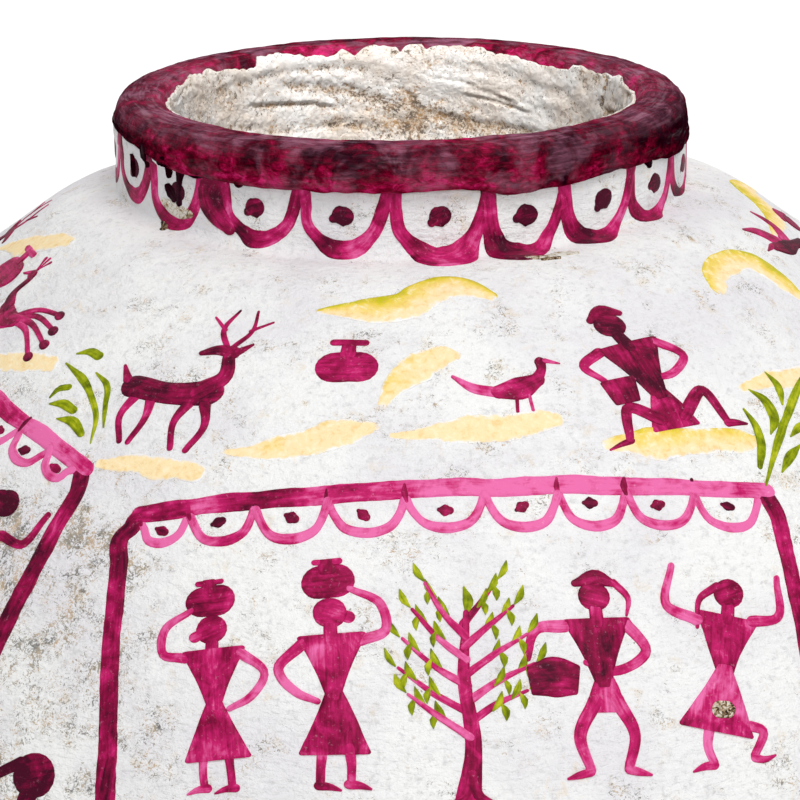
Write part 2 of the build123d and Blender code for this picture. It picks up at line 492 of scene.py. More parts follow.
def pot_carrier(figure):
    """A woman in a wide skirt who steadies a water pot on her head."""
    figure.strokes(
        (((-5, 15), (-5.5, 9), (-5, 3)), LEG, -0.1),
        (((-4, 2), (-8, 1.5), (-12, 0)), FOOT, -0.05),
        (((5, 15), (5.5, 9), (6, 3)), LEG, -0.1),
        (((7, 2), (3, 1.5), (-1, 0)), FOOT, -0.05),
        (((-11, 55), (-20, 58), (-19, 68), (-8, 75)), (4.6, 3.8, 3.6, 2.6), -0.15),
        (((11, 55), (20, 46), (14, 37), (6, 33)), (4.6, 3.8, 3.4, 2.4), -0.15),
        (((0, 37), (0, 28), (0.5, 14)), (6, 14, 27), 0, True),
        (((0, 34), (0, 44), (0, 57)), (5.5, 13, 26), 0.08, True),
        (((0, 56), (0, 63)), (5.5, 5), 0.1),
        (*oval(0, 66, 11, 12), 0.15),
        (*oval(-6.5, 64, 5.5, 5), 0),
        (((-3.5, 78), (3.5, 78)), (13, 13), 0.2),
        (((-4.5, 86), (4.5, 86)), (2.6, 2.6), 0.1),
        (((0, 82), (0, 86)), (7, 6), 0.1, True),
    )


def drummer(figure):
    """A man in a turban who plays a drum at his waist."""
    for side in (-1, 1):
        figure.strokes(
            (((side * 4, 27), (side * 10, 15), (side * 7, 3)), (5.6, 4.6, 3.6), -0.1),
            (((side * 7, 2.5), (side * 11, 1.5), (side * 15, 0.5)), FOOT, -0.05),
        )
    figure.strokes(
        (((-9, 55), (-16, 45), (-4, 38), (6, 41)), (4.6, 4, 3.6, 2.4), -0.15),
        (((0, 36), (0, 31), (0, 24)), (6.5, 11, 15), 0.05, True),
        (((0, 33), (0.5, 42), (1, 56)), (6, 12, 25), 0.08, True),
        (((1, 56), (1.5, 62)), (5.5, 5), 0.1),
        (*oval(1.5, 65, 10.5, 11), 0.15),
        (((-5.5, 70), (0, 72), (8, 70)), (3, 6.5, 3), 0.2),
        (((-6, 70), (-11, 64), (-10, 58)), (2.6, 2.2, 1), 0),
        (((10, 35), (18, 36), (26, 35)), (11, 15, 11), 0.2, True),
        (((13, 54), (23, 53), (27, 43)), (4.6, 4, 2.6), -0.15),
    )


def dancer(figure):
    """A woman who dances with both arms raised and her skirt swung out."""
    figure.strokes(
        (((-6, 16), (-7, 9), (-5, 3)), LEG, -0.1),
        (((-5, 2), (-9, 1.5), (-13, 0)), FOOT, -0.05),
        (((5, 17), (15, 14), (11, 5)), (4.4, 3.8, 3.2), -0.1),
        (((11, 4), (15, 3.5), (19, 5)), (3.4, 2.6, 1), -0.05),
        (((-8, 56), (-19, 61), (-16, 76)), ARM, -0.15),
        (((14, 56), (24, 58), (26, 74)), ARM, -0.15),
        (((1.5, 38), (0, 29), (-3, 15)), (6, 15, 30), 0, True),
        (((1.5, 34), (2, 44), (4, 57)), (5.5, 13, 25), 0.08, True),
        (((4, 57), (5, 63)), (5.5, 5), 0.1),
        (*oval(5.5, 66.5, 11, 11.5), 0.15),
        (((1, 69), (-6, 64), (-8, 53)), (3.4, 2.6, 1.4), 0.1),
    )


def seated_drummer(figure):
    """A man who sits with his knees up behind a small drum."""
    figure.strokes(
        (((-6, 8), (-18, 17), (-22, 3)), (6, 4.6, 3.4), -0.2),
        (((-22, 2), (-26, 1.5), (-30, 0.5)), (3.4, 2.6, 1), -0.1),
        (((5, 8), (15, 15), (20, 3)), (6, 4.6, 3.4), -0.2),
        (((20, 2), (24, 1.5), (29, 0.5)), (3.4, 2.6, 1), -0.1),
        (((-9, 41), (-18, 33), (-10, 26), (8, 27)), (4.6, 4, 3.4, 2.4), -0.3),
        (((0, 20), (0, 13), (0, 4)), (7, 14, 21), 0, True),
        (((0, 17), (1, 27), (2, 42)), (6.5, 13, 27), 0.08, True),
        (((2, 41), (4, 48)), (6, 5), 0.1),
        (*oval(4.5, 52, 11.5, 12), 0.15),
        (((-2, 57), (4, 59.5), (11, 56)), (3, 6, 3), 0),
        (((14, 18), (14, 27)), (11, 15), 0.05, True),
        (((15, 41), (24, 36), (19, 28)), ARM, -0.3),
    )


def deer(figure):
    """A stag that looks back over its shoulder."""
    for x, knee, foot in ((-13, -17, -13), (-8, -6, -9), (9, 6, 9), (14, 18, 15)):
        figure.stroke(((x, 22), (knee, 11), (foot, 0.5)), (5, 3, 2.4), -0.15)
    figure.strokes(
        (((-17, 24), (0, 23), (14, 26)), (10, 10, 12), 0),
        (((11, 26), (17, 34), (15, 43)), (9, 6.5, 5), 0.05),
        (((16, 45), (10, 45), (4, 42.5)), (6, 5, 2.2), 0.1),
        (((18, 46), (22, 50)), (3.4, 1), -0.1),
        (((15, 47), (19, 56), (17, 66)), (2.2, 2, 1), -0.1),
        (((18.5, 56), (25, 62)), (1.8, 1), -0.1),
        (((13, 47), (8, 55), (10, 65)), (2.2, 2, 1), -0.1),
        (((8.5, 55), (2, 60)), (1.8, 1), -0.1),
        (((-21, 27), (-25, 33)), (4, 1.4), -0.1),
    )


def water_pot(figure):
    """A round pot with a narrow neck and a wide lip."""
    figure.strokes(
        (((-5, 9), (5, 9)), (16, 16), 0),
        (((0, 15), (0, 21)), (7, 6), 0.1, True),
        (((-6.5, 22), (6.5, 22)), (3.2, 3.2), -0.1),
    )


def standing_bird(figure):
    """A bird with a long tail and its head raised."""
    figure.strokes(
        (((-2, -2), (-3, -9)), (1.4, 1.2), -0.1),
        (((3, -2), (3, -9)), (1.4, 1.2), -0.1),
        (((-8, 0), (-17, 3), (-23, 9)), (5, 4, 1.4), -0.15),
        (((-8, 0), (0, 1), (7, 4)), (6, 10, 6), 0.05),
        (((7, 4), (10, 9), (10, 12)), (5, 3.4, 4.4), 0.1),
        (((12, 12.5), (17, 11)), (2.2, 0.8), -0.1),
    )


def flying_bird(figure):
    """A bird with both wings up."""
    figure.strokes(
        (((-1, 2), (-7, 9), (-6, 17)), (7, 5, 1.2), -0.1),
        (((3, 3), (7, 11), (13, 16)), (7, 5, 1.2), -0.15),
        (((-14, -2), (-6, 0), (4, 2), (10, 5)), (5, 4, 7.5, 4), 0.1),
        (((11, 6), (16, 6)), (2.2, 0.8), -0.1),
    )


def peacock(figure):
    """A peacock that trails a long eyed train."""
    for path in (((-1, 12), (-2, 6), (-1, 0.5)), ((5, 12), (5, 6), (7, 0.5))):
        figure.stroke(path, (2.2, 1.8, 1.6), -0.1)
    for n, (reach, rise) in enumerate(((-42, 6), (-44, 15), (-41, 24), (-35, 32))):
        tip = (0.92 * reach, 0.92 * rise)
        figure.strokes(
            (((-4, 17), (0.5 * tip[0], 13 + 0.42 * rise), tip), (5, 3.2, 2.4), 0.05 * n - 0.1),
            (*oval(*tip, 6, 5.2), 0.25),
        )
    figure.strokes(
        (((-8, 17), (1, 16), (9, 21)), (8, 13, 8), 0.1),
        (((8, 21), (14, 28), (13, 38)), (8, 5, 4.4), 0.15),
        (*oval(14, 40, 6.4, 5.8), 0.2),
        (((17, 40.5), (22, 39)), (2.4, 0.8), -0.1),
    )
    for x, up in ((10, 49), (13.5, 50.5), (17, 50)):
        figure.stroke(((14, 42), ((14 + x) / 2, 46), (x, up)), (1, 1, 2), -0.1)


def tree(wood, leaves):
    """A tree with paired boughs, in one paint, and its leaves in another."""
    wood.strokes(
        (((-2, 0), (1, 18), (-1, 40), (1, 64)), (9, 6, 4.6, 2.2), 0),
        (((-8, -1), (-3, 2), (0, 9)), (2, 4, 4), -0.1),
        (((7, -1), (2, 2), (0, 9)), (2, 4, 4), -0.1),
    )
    for n, (height, reach) in enumerate(((24, 20), (32, 23), (41, 21), (50, 17), (58, 12))):
        for side in (-1, 1):
            start, tip = height + 2 * side, height + 13 + n
            bough = ((0, start), (side * reach * 0.5, start + 7), (side * reach, tip))
            wood.stroke(bough, (3, 2.2, 1.2), -0.15)
            for share, turn in ((0.4, 1), (0.55, -1), (0.74, 1), (0.88, -1), (1.05, 1)):
                foot = np.array([side * reach * share, start + (tip - start) * share])
                blade = foot + (side * (2.2 + turn), 5.6 * turn + 0.6)
                bend = (foot + blade) / 2 + (side * 0.7, 0)
                leaves.stroke((foot, bend, blade), (0.7, 2.6, 0.5), 0)
    leaves.stroke(((1, 64), (2, 68), (1, 73)), (1, 3.6, 0.8), 0)


# Materials


class Socket:
    """An output of a shader tree, on which Python's arithmetic adds Math nodes."""

    def __init__(self, shader, socket):
        self.shader, self.socket = shader, socket

    def maths(self, operation, *terms):
        """A Math node on the terms."""
        return self.shader.node("ShaderNodeMath", {"operation": operation}, dict(enumerate(terms)))

    def __add__(self, other):
        return self.maths("ADD", self, other)

    def __sub__(self, other):
        return self.maths("SUBTRACT", self, other)

    def __rsub__(self, other):
        return self.maths("SUBTRACT", other, self)

    def __mul__(self, other):
        return self.maths("MULTIPLY", self, other)

    __radd__, __rmul__ = __add__, __mul__

    def __abs__(self):
        return self.maths("ABSOLUTE", self)

    def between(self, low, high):
        """A smooth step from 0 at low to 1 at high."""
        settings = {"interpolation_type": "SMOOTHSTEP"}
        return self.shader.node("ShaderNodeMapRange", settings, {0: self, 1: low, 2: high})


class Shader:
    """A material built from expressions on its sockets."""

    def __init__(self, name, **fixed):
        self.material = bpy.data.materials.new(name)
        self.material.use_nodes = True
        self.tree = self.material.node_tree
        self.surface = self.tree.nodes["Principled BSDF"]
        self.feed(self.surface, fixed)
        self.place = self.node("ShaderNodeTexCoord", output="Object")

    def node(self, kind, settings=None, inputs=None, output=0):
        """A node of a kind, with its settings first and then its inputs: numbers, colours or links."""
        made = self.tree.nodes.new(kind)
        for label, value in (settings or {}).items():
            setattr(made, label, value)
        self.feed(made, inputs or {})
        return Socket(self, made.outputs[output])

    def feed(self, node, inputs):
        """Gives a node its inputs, by number or by name with low lines for spaces."""
        for label, value in inputs.items():
            target = node.inputs[label.replace("_", " ") if isinstance(label, str) else label]
            if isinstance(value, Socket):
                self.tree.links.new(value.socket, target)
            else:
                target.default_value = (*value, 1) if target.type == "RGBA" else value

    def value(self, name, output="Fac"):
        """The points' own value of that name."""
        return self.node("ShaderNodeAttribute", {"attribute_name": name}, output=output)

    def along(self, axis):
        """How far the place lies along an axis."""
        return self.node("ShaderNodeSeparateXYZ", None, {0: self.place}, output=axis)

    def stretched(self, *scale):
        """The place, stretched by a scale along each axis."""
        return self.node("ShaderNodeMapping", None, {0: self.place, 3: scale})

    def noise(self, size, detail=2.0, roughness=0.5, warp=0.0, over=None):
        """Noise of about one feature per size in millimetres, from 0 to 1, over the place or another
        vector."""
        inputs = {"Vector": over or self.place, "Scale": 1 / (size * MM), "Detail": detail}
        inputs.update(Roughness=roughness, Distortion=warp)
        return self.node("ShaderNodeTexNoise", None, inputs)

    def mix(self, share, first, second):
        """A share of the second colour over the first."""
        return self.node("ShaderNodeMix", {"data_type": "RGBA"}, {0: share, 6: first, 7: second}, output=2)

    def ramp(self, value, *stops):
        """Colours in turn as a value climbs."""
        made = self.node("ShaderNodeValToRGB", None, {0: value})
        elements = made.socket.node.color_ramp.elements
        for n, (place, shade) in enumerate(stops):
            stop = elements[n] if n < 2 else elements.new(place)
            stop.position, stop.color = place, (*shade, 1)
        return made

    def finish(self, tint, relief, depth, strength=1.0, **links):
        """The material, with its colour, a relief so many millimetres deep and its other links."""
        inputs = {"Height": relief, "Distance": depth * MM, "Strength": strength}
        bump = self.node("ShaderNodeBump", None, inputs)
        self.feed(self.surface, {"Base_Color": tint, "Normal": bump, **links})
        return self.material


def limewash_relief(shader):
    """Height of the brushed limewash, about 0 to 1: broad lumps, brush marks that run round the jar, and
    grit."""
    marks = shader.noise(5, 4, 0.6, 0.6, over=shader.stretched(1, 1, 3.2))
    return 0.35 * shader.noise(9, 3) + 0.35 * marks + 0.3 * shader.noise(1.5, 4, 0.7)


def limewash_colour(shader):
    """White, mottled with grey, with ochre stains and crowds of brown and grey flecks. The flecks crowd
    most at the lower left of the front, up to smooth steps that drift with the clouds."""
    cloud = shader.noise(60, 4, 0.6)
    tint = shader.mix(cloud.between(0.34, 0.62), srgb(233, 231, 234), paint("white"))
    mottle = shader.noise(3, 7, 0.76).between(0.5, 0.68)
    tint = shader.mix(mottle * 0.6, tint, srgb(204, 202, 203))
    stain = shader.noise(8, 5, 0.7, 0.5).between(0.56, 0.7)
    tint = shader.mix(stain * 0.34, tint, srgb(226, 204, 166))
    drift = 160 * MM * (cloud - 0.5)
    left = (shader.along(0) + drift).between(-65 * MM, -130 * MM)
    front = (shader.along(1) - drift).between(40 * MM, -70 * MM)
    low = shader.along(2).between(430 * MM, 385 * MM)
    crowd = shader.noise(16, 4, 0.65) + 0.19 * left * front * low
    flecks = (shader.noise(1.7, 4, 0.72, 1.6) + 0.75 * (crowd - 0.5)).between(0.66, 0.72)
    scribble = abs(shader.noise(5, 5, 0.62, 1.0, over=shader.stretched(1, 1, 1.8)) - 0.5)
    marks = flecks + scribble.between(0.016, 0.003) * crowd.between(0.52, 0.64)
    hues = ((0.36, srgb(84, 80, 72)), (0.5, srgb(140, 126, 100)), (0.64, srgb(190, 156, 110)))
    return shader.mix(marks.between(0, 1.2) * 0.85, tint, shader.ramp(shader.noise(5, 2), *hues))


def limewash():
    """The bare white coat."""
    shader = Shader("white_limewash", Roughness=0.75, Specular_IOR_Level=0.2)
    return shader.finish(limewash_colour(shader), limewash_relief(shader), 2.4)


def magenta_paint():
    """Thin brushed paint: pink where it is thin, maroon where strokes meet, with streaks along each
    stroke."""
    shader = Shader("magenta_paint", Roughness=0.5, Specular_IOR_Level=0.1)
    tone = shader.value("tone")
    streaks = shader.noise(1.5, 3, 0.65, 0.4, over=shader.value("stroke", "Vector"))
    blotches = shader.noise(8, 5, 0.62, 0.5)
    edge = shader.value("edge").between(0.82, 1.0)
    depth = tone + 0.9 * (streaks - 0.5) + 1.5 * (blotches - 0.5) + 0.04 * edge
    shades = ((0.0, "pink"), (0.36, "magenta"), (0.68, "crimson"), (1.0, "maroon"))
    tint = shader.ramp(depth, *((place, paint(name)) for place, name in shades))
    worn = shader.noise(1.5, 4, 0.72).between(0.6, 0.7)
    tint = shader.mix(worn * (0.32 - 0.24 * tone), tint, srgb(238, 186, 208))
    return shader.finish(tint, limewash_relief(shader) + 0.12 * streaks, 0.8, 0.7)


def ochre_wash():
    """A thin wash of ochre, lemon to green along its upper edge, that fades into the limewash at its
    lower one."""
    shader = Shader("ochre_wash", Roughness=0.75, Specular_IOR_Level=0.2)
    depth = shader.value("tone") + 0.9 * (shader.noise(6, 4, 0.6) - 0.5)
    shades = (
        (0.3, paint("ochre")),
        (0.6, srgb(244, 216, 128)),
        (0.84, paint("lemon")),
        (1.0, srgb(196, 188, 14)),
    )
    wash = shader.noise(3, 5, 0.7, 0.4)
    tint = shader.mix(wash.between(0.5, 0.66) * 0.5, shader.ramp(depth, *shades), srgb(232, 190, 112))
    tint = shader.mix((1 - wash).between(0.52, 0.66) * 0.5, tint, srgb(252, 244, 214))
    thin = (shader.value("edge") + 1.2 * (shader.noise(4, 5, 0.7) - 0.5)).between(0.7, 1.0)
    bare = thin * (1 - depth.between(0.62, 0.82))
    return shader.finish(shader.mix(bare, tint, limewash_colour(shader)), limewash_relief(shader), 0.9, 0.8)


def leaf_paint():
    """Leaf green, paler and darker in streaks along each stroke."""
    shader = Shader("leaf_paint", Roughness=0.55, Specular_IOR_Level=0.1)
    streaks = shader.noise(1.1, 3, 0.6, over=shader.value("stroke", "Vector"))
    depth = 0.6 * shader.noise(5, 3, 0.6) + 0.4 * streaks
    tint = shader.ramp(depth, (0.36, srgb(184, 188, 36)), (0.5, paint("leaf")), (0.64, srgb(86, 96, 0)))
    return shader.finish(tint, limewash_relief(shader), 0.7, 0.6)


def rim_enamel():
    """Thick dark paint, brushed round the rim: crimson where it is thin, near black where it is thick,
    with painted shade in the wrinkles' hollows and a painted plum-grey sheen on top and in front."""
    shader = Shader("rim_enamel", Specular_IOR_Level=0.0, Coat_Roughness=0.3)
    stroke = shader.value("stroke", "Vector")
    strokes = shader.noise(2.4, 5, 0.66, 0.5, over=stroke)
    fine = shader.noise(0.9, 2, over=stroke)
    blotches = shader.noise(8, 6, 0.7, 0.6)
    wrinkles = shader.noise(4.5, 5, 0.66, 1.0, over=shader.stretched(1, 1, 2))
    # Painted shade: the enamel is darker where the wrinkles' relief is low.
    depth = shader.value("tone") + 0.5 * (strokes - 0.5) + 2.2 * (blotches - 0.5) + 1.3 * (0.5 - wrinkles)
    shades = (
        (0.0, srgb(204, 40, 106)),
        (0.26, srgb(158, 14, 64)),
        (0.5, srgb(112, 4, 36)),
        (0.76, srgb(66, 0, 20)),
        (1.0, srgb(32, 0, 12)),
    )
    # Painted sheen: plum-grey reflected light painted on the rim's top and front, streaked along the brush
    # marks.
    top = shader.along(2).between(rim_high.z - 9 * MM, rim_high.z - 3 * MM)
    front = abs(shader.along(0)).between(90 * MM, 60 * MM)
    cloud = shader.noise(16, 4, 0.64, 0.4).between(0.42, 0.62)
    sheen_on_top = (0.36 + 0.5 * cloud) * top * (1 - 0.72 * front)
    painted_sheen = (cloud * (0.06 + 0.6 * front) + sheen_on_top) * (0.4 + 0.6 * strokes.between(0.42, 0.6))
    tint = shader.mix(painted_sheen, shader.ramp(depth, *shades), srgb(150, 92, 114))
    relief = 0.25 * strokes + 0.15 * fine + 0.6 * wrinkles
    sheen = {"Roughness": 0.4 + 0.5 * (blotches - 0.5), "Coat_Weight": strokes.between(0.52, 0.7) * 0.25}
    return shader.finish(tint, relief, 4.5, **sheen)


def mouth_plaster():
    """Rough cream plaster, tan and with brown and ochre specks, the more where its surface lies low."""
    shader = Shader("mouth_plaster", Roughness=0.9, Specular_IOR_Level=0.15)
    hollow = shader.value("hollow")
    tint = shader.mix(shader.noise(22, 4, 0.6).between(0.36, 0.62), srgb(240, 228, 216), paint("plaster"))
    grain, crowd = shader.noise(2.6, 6, 0.75, 0.4), shader.noise(5, 5, 0.7, 0.4)
    # Tan and specks gather more where the surface lies low.
    tan_share = (grain + 0.24 * hollow + 0.5 * (crowd - 0.5)).between(0.52, 0.76)
    tint = shader.mix(tan_share * 0.6, tint, srgb(204, 178, 146))
    specks = (shader.noise(1.1, 4, 0.75) + 0.5 * (crowd - 0.5) + 0.09 * hollow).between(0.57, 0.63)
    hues = ((0.4, srgb(84, 68, 54)), (0.5, srgb(140, 104, 66)), (0.62, srgb(186, 140, 84)))
    tint = shader.mix(specks * 0.8, tint, shader.ramp(shader.noise(6, 2), *hues))
    return shader.finish(tint, 0.65 * grain + 0.35 * shader.noise(6, 3), 3)


def worn_chip():
    """Where paint and limewash have flaked: bright crumbs with brown and near black between them."""
    shader = Shader("worn_chip", Roughness=0.85, Specular_IOR_Level=0.2)
    crumbs = shader.noise(1.8, 4, 0.75, 0.8) + 0.8 * (shader.value("tone") - 0.5)
    shades = (
        (0.42, srgb(240, 236, 226)),
        (0.49, srgb(202, 180, 146)),
        (0.55, srgb(132, 102, 70)),
        (0.62, srgb(44, 34, 28)),
    )
    return shader.finish(shader.ramp(crumbs, *shades), crumbs, 1.5)


def terracotta(name, shade):
    """Unglazed fired clay: a warm ground with smoke clouds, pale sand and turning marks."""
    shader = Shader(name, Roughness=0.85)
    warm = tuple(part * shade for part in paint("clay"))
    tint = shader.mix(shader.noise(70, 4, 0.6).between(0.3, 0.7), tuple(0.72 * part for part in warm), warm)
    smoke = shader.noise(110, 3, 0.55, 0.4).between(0.6, 0.8)
    tint = shader.mix(smoke * 0.5, tint, srgb(92, 62, 48))
    sand = shader.noise(1.1, 2).between(0.62, 0.7)
    tint = shader.mix(sand * 0.4, tint, srgb(214, 170, 130))
    turning = shader.noise(22, 3, over=shader.stretched(1, 1, 9))
    return shader.finish(tint, 0.6 * turning + 0.4 * shader.noise(1.6, 3), 0.8, 0.6)


# Pieces


class JAR_OT_clay(bpy.types.Operator):
    """Gives the base, the courses, the collar, the rim's coil and the slip between them their fired clay"""

    bl_idname = "jar.clay"
    bl_label = "Fired clay"

    def execute(self, context):
        clay, slip = terracotta("fired_terracotta", 1.0), terracotta("fired_slip", 0.8)
        for name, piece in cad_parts.items():
            piece.data.materials.clear()
            piece.data.materials.append(slip if name.startswith("slip_") else clay)
        return {"FINISHED"}


class JAR_OT_coat(bpy.types.Operator):
    """Brushes the white coat over the outside"""

    bl_idname = "jar.coat"
    bl_label = "White coat"

    # Columns of points, and rows of them down to where the dome starts and below that
    columns, near, far = 480, 34, 116

    def execute(self, context):
        jar = jar_sizes()
        skin = Skin(jar)
        angle = np.linspace(0, TURN, self.columns, endpoint=False)

        # The foot is ragged, and the top follows the rim's clay up where the enamel's edge bares it
        edge = skin.at(angle, skin.foot)
        ragged = 4 * MM * (1 + lumps(edge, 30 * MM, 21)) + 1.2 * MM * lumps(edge, 9 * MM, 22)
        foot = skin.foot - np.clip(ragged, 0, None)
        top, bend = -MM * np.interp(hem(angle) / MM, (0.8, 2.5, 6), (0, 3.3, 6.8)), skin.dome_drop
        close = top + (bend - top) * np.linspace(0, 1, self.near, endpoint=False)[:, None]
        drop = np.concatenate([close, bend + (foot - bend) * np.linspace(0, 1, self.far)[:, None]])
        hidden = np.concatenate([drop[: self.near : 2], drop[self.near :: 5]])[::-1]

        # The hidden side lies just over the clay, and closer to the shown one beside the rim
        under = 0.4 * MM + (jar.coat_thickness - jar.unevenness - 0.5 * MM) * (hidden > 0)
        outside, inside = skin.at(angle, drop), skin.at(angle, hidden, -under)
        new_shell("white_coat", outside, inside, "white_coat", limewash(), "ground_coat", turn_over=True)
        return {"FINISHED"}


class JAR_OT_rim(bpy.types.Operator):
    """Brushes the dark enamel over the rim and lets it run down the neck"""

    bl_idname = "jar.rim"
    bl_label = "Rim enamel"

    # Rows and columns of points and rows of hidden ones, how much the brush marks are drawn out round the
    # rim, and how far the hidden side stays over the clay
    rows, columns, hidden_rows = 80, 900, 22
    drawn_out, clear = 0.14, 0.15 * MM

    def execute(self, context):
        jar = jar_sizes()
        slope = jar.rim_fall / (jar.rim_radius - jar.mouth_radius - 2 * jar.enamel_thickness)
        crest = jar.rim_top - INNER_ROUND + INNER_ROUND * sqrt(1 + slope**2)
        inner = (jar.mouth_radius, crest + INNER_ROUND * slope)
        outer = (jar.rim_radius, crest - slope * (jar.rim_radius - jar.mouth_radius - INNER_ROUND))
        underside = jar.rim_underside - jar.enamel_thickness
        under, start = (jar.rim_radius, underside), (jar.neck_radius + 0.3 * MM, underside)
        end = (jar.mouth_radius, jar.enamel_edge)
        runs = [
            start,
            rounded(start, under, outer, UNDER_ROUND),
            rounded(under, outer, inner, OUTER_ROUND),
            rounded(outer, inner, end, INNER_ROUND),
            end,
        ]
        line, outward, run = outline(runs, self.rows)
        angle = np.linspace(0, TURN, self.columns, endpoint=False)
        points, normals = turned(line[:, None], angle), turned(outward[:, None], angle)
        x, y = points[..., 0] * self.drawn_out, points[..., 1] * self.drawn_out
        brushed = np.stack([x, y, run[:, None] + 0 * angle], -1)
        tone = self.tones(points, run, angle)
        slack = np.clip(0.5 - 0.5 * np.cos(angle) - 0.5 * np.sin(angle), 0, 1)
        dip = sum(
            share * (0.5 - 0.5 * lumps(brushed if along else points, size * MM, seed))
            for share, size, seed, along in self.dents
        )
        dip = np.clip(dip, 0, 0.8) * (1 - 0.5 * slack)
        points = points - normals * (jar.enamel_thickness * dip)[..., None]
        points = self.settled(jar, points, run, angle, slope * slack)
        back, inward, back_run = outline(runs, self.hidden_rows)
        hidden = turned((back - inward * (jar.enamel_thickness - self.clear))[:, None], angle)
        hidden = self.settled(jar, hidden, back_run, angle, slope * slack)[::-1]
        brushed = np.concatenate([brushed, hidden * self.drawn_out])
        tone = np.concatenate([tone, np.full(hidden.shape[:2], 0.6)])
        enamel = rim_enamel()
        values = {"stroke": brushed, "tone": tone}
        new_shell("rim_enamel_coat", points, hidden, "rim_enamel", enamel, "rim_enamel", **values)
        drips = Painting(Skin(jar), 36, thickness=0.5 * MM)
        for turn, path, widths, tone in self.drips:
            band = Band(drips.skin, radians(turn), -hem(radians(turn)))
            drips.stroke(band, path, widths, tone, spacing=0.9 * MM)
        drips.finish("rim_drips", enamel, "rim_enamel")
        return {"FINISHED"}

    # Dents of the enamel: their share of its thickness, size in millimetres and seed, and whether they run
    # with the brush
    dents = ((0.34, 24, 31, False), (0.2, 6, 39, False), (0.18, 4.5, 32, True), (0.12, 1.8, 33, True))

    # How thick the paint is at lengths along the rim's outline in millimetres, from under its edge to the
    # mouth
    thickness = ((0, 5, 9, 13, 18, 26, 32, 37, 46), (0.5, 0.42, 0.4, 0.62, 0.78, 0.72, 0.66, 0.42, 0.3))

    # Each drip's angle from the front, its path and widths on the neck, and its tone
    drips = (
        (-52, ((-4, 1), (-1, 0.2), (2, 0), (6, 0.4)), (4, 4.4, 4.4, 3), 1.2),
        (-52.8, ((0, 0), (0.3, -2), (0.1, -3.8)), (6, 4.8, 3.4), 1.25),
        (-49.4, ((1, 0.6), (0.3, -3), (-0.1, -8), (-0.3, -13)), (7, 3.8, 2.6, 3), 1.3),
        (-51.8, ((-1.8, -9), (-0.2, -10.4), (1, -12.4)), (3.8, 5.6, 3), 0.95),
        (-44.6, ((-5, 1), (0, 0.2), (5, 0.8)), (3, 3.6, 2.6), 1.1),
        (-60.4, ((0, 0.6), (0.2, -2.4), (0.6, -4.4)), (5, 3.8, 2.6), 1.0),
        (-66.5, ((0, -5), (0.3, -8.5), (0.5, -12)), (2, 3.6, 1.4), 0.9),
        (-34, ((0, 0.6), (0.4, -0.4)), (6, 4), 0.9),
        (58, ((0, 0.6), (0.6, -0.8)), (6, 4), 0.9),
        (118, ((0, 0.6), (0.5, -3), (0.2, -7)), (6, 4, 2.6), 1.1),
        (203, ((0, 0.6), (-0.5, -2.6)), (6, 4), 1.0),
    )

    def settled(self, jar, points, run, angle, rise):
        """The coil as it dried: its top level where the given rise for each length outwards makes up for
        its fall, and its lower edge hanging unevenly and swelling with the neck."""
        reach = np.hypot(points[..., 0], points[..., 1])
        high = np.clip((points[..., 2] - jar.rim_top) / (6 * MM) + 1.5, 0, 1)
        low = np.clip(1 - (run - (jar.rim_radius - jar.neck_radius)) / (9 * MM), 0, 1)[:, None]
        edge = turned(np.array([jar.rim_radius, jar.rim_underside]), angle)
        sag = hem(angle) + MM * layered(edge, (0.4, 26, 34), (0.3, 9, 35))
        sag = np.minimum(sag, np.maximum(hem(angle) + 0.4 * MM, 0.8 * MM))
        lift = rise * high * np.clip(reach - jar.mouth_radius - INNER_ROUND, 0, None) + low * sag
        out = 1 + low * 1.2 * MM * np.sin(angle) ** 4 / reach
        return points * np.stack([out, out, np.ones_like(out)], -1) + lift[..., None] * (0, 0, 1)

    def tones(self, points, run, angle):
        """How thick the enamel is: by its run over the outline, in broad patches, and more at its lower
        edge away from the front, which paints shade on the face's sides and back and leaves the front
        lighter."""
        patches = layered(points, (0.16, 55, 37), (0.1, 16, 38))
        # Painted shade: the lower face is darker away from the front.
        side = np.clip(1.25 - 1.5 * np.cos(angle - radians(6)), 0, 1)
        side = side * np.interp(run / MM, (10, 17), (1, 0))[:, None]
        return np.interp(run / MM, *self.thickness)[:, None] + patches + 0.4 * side


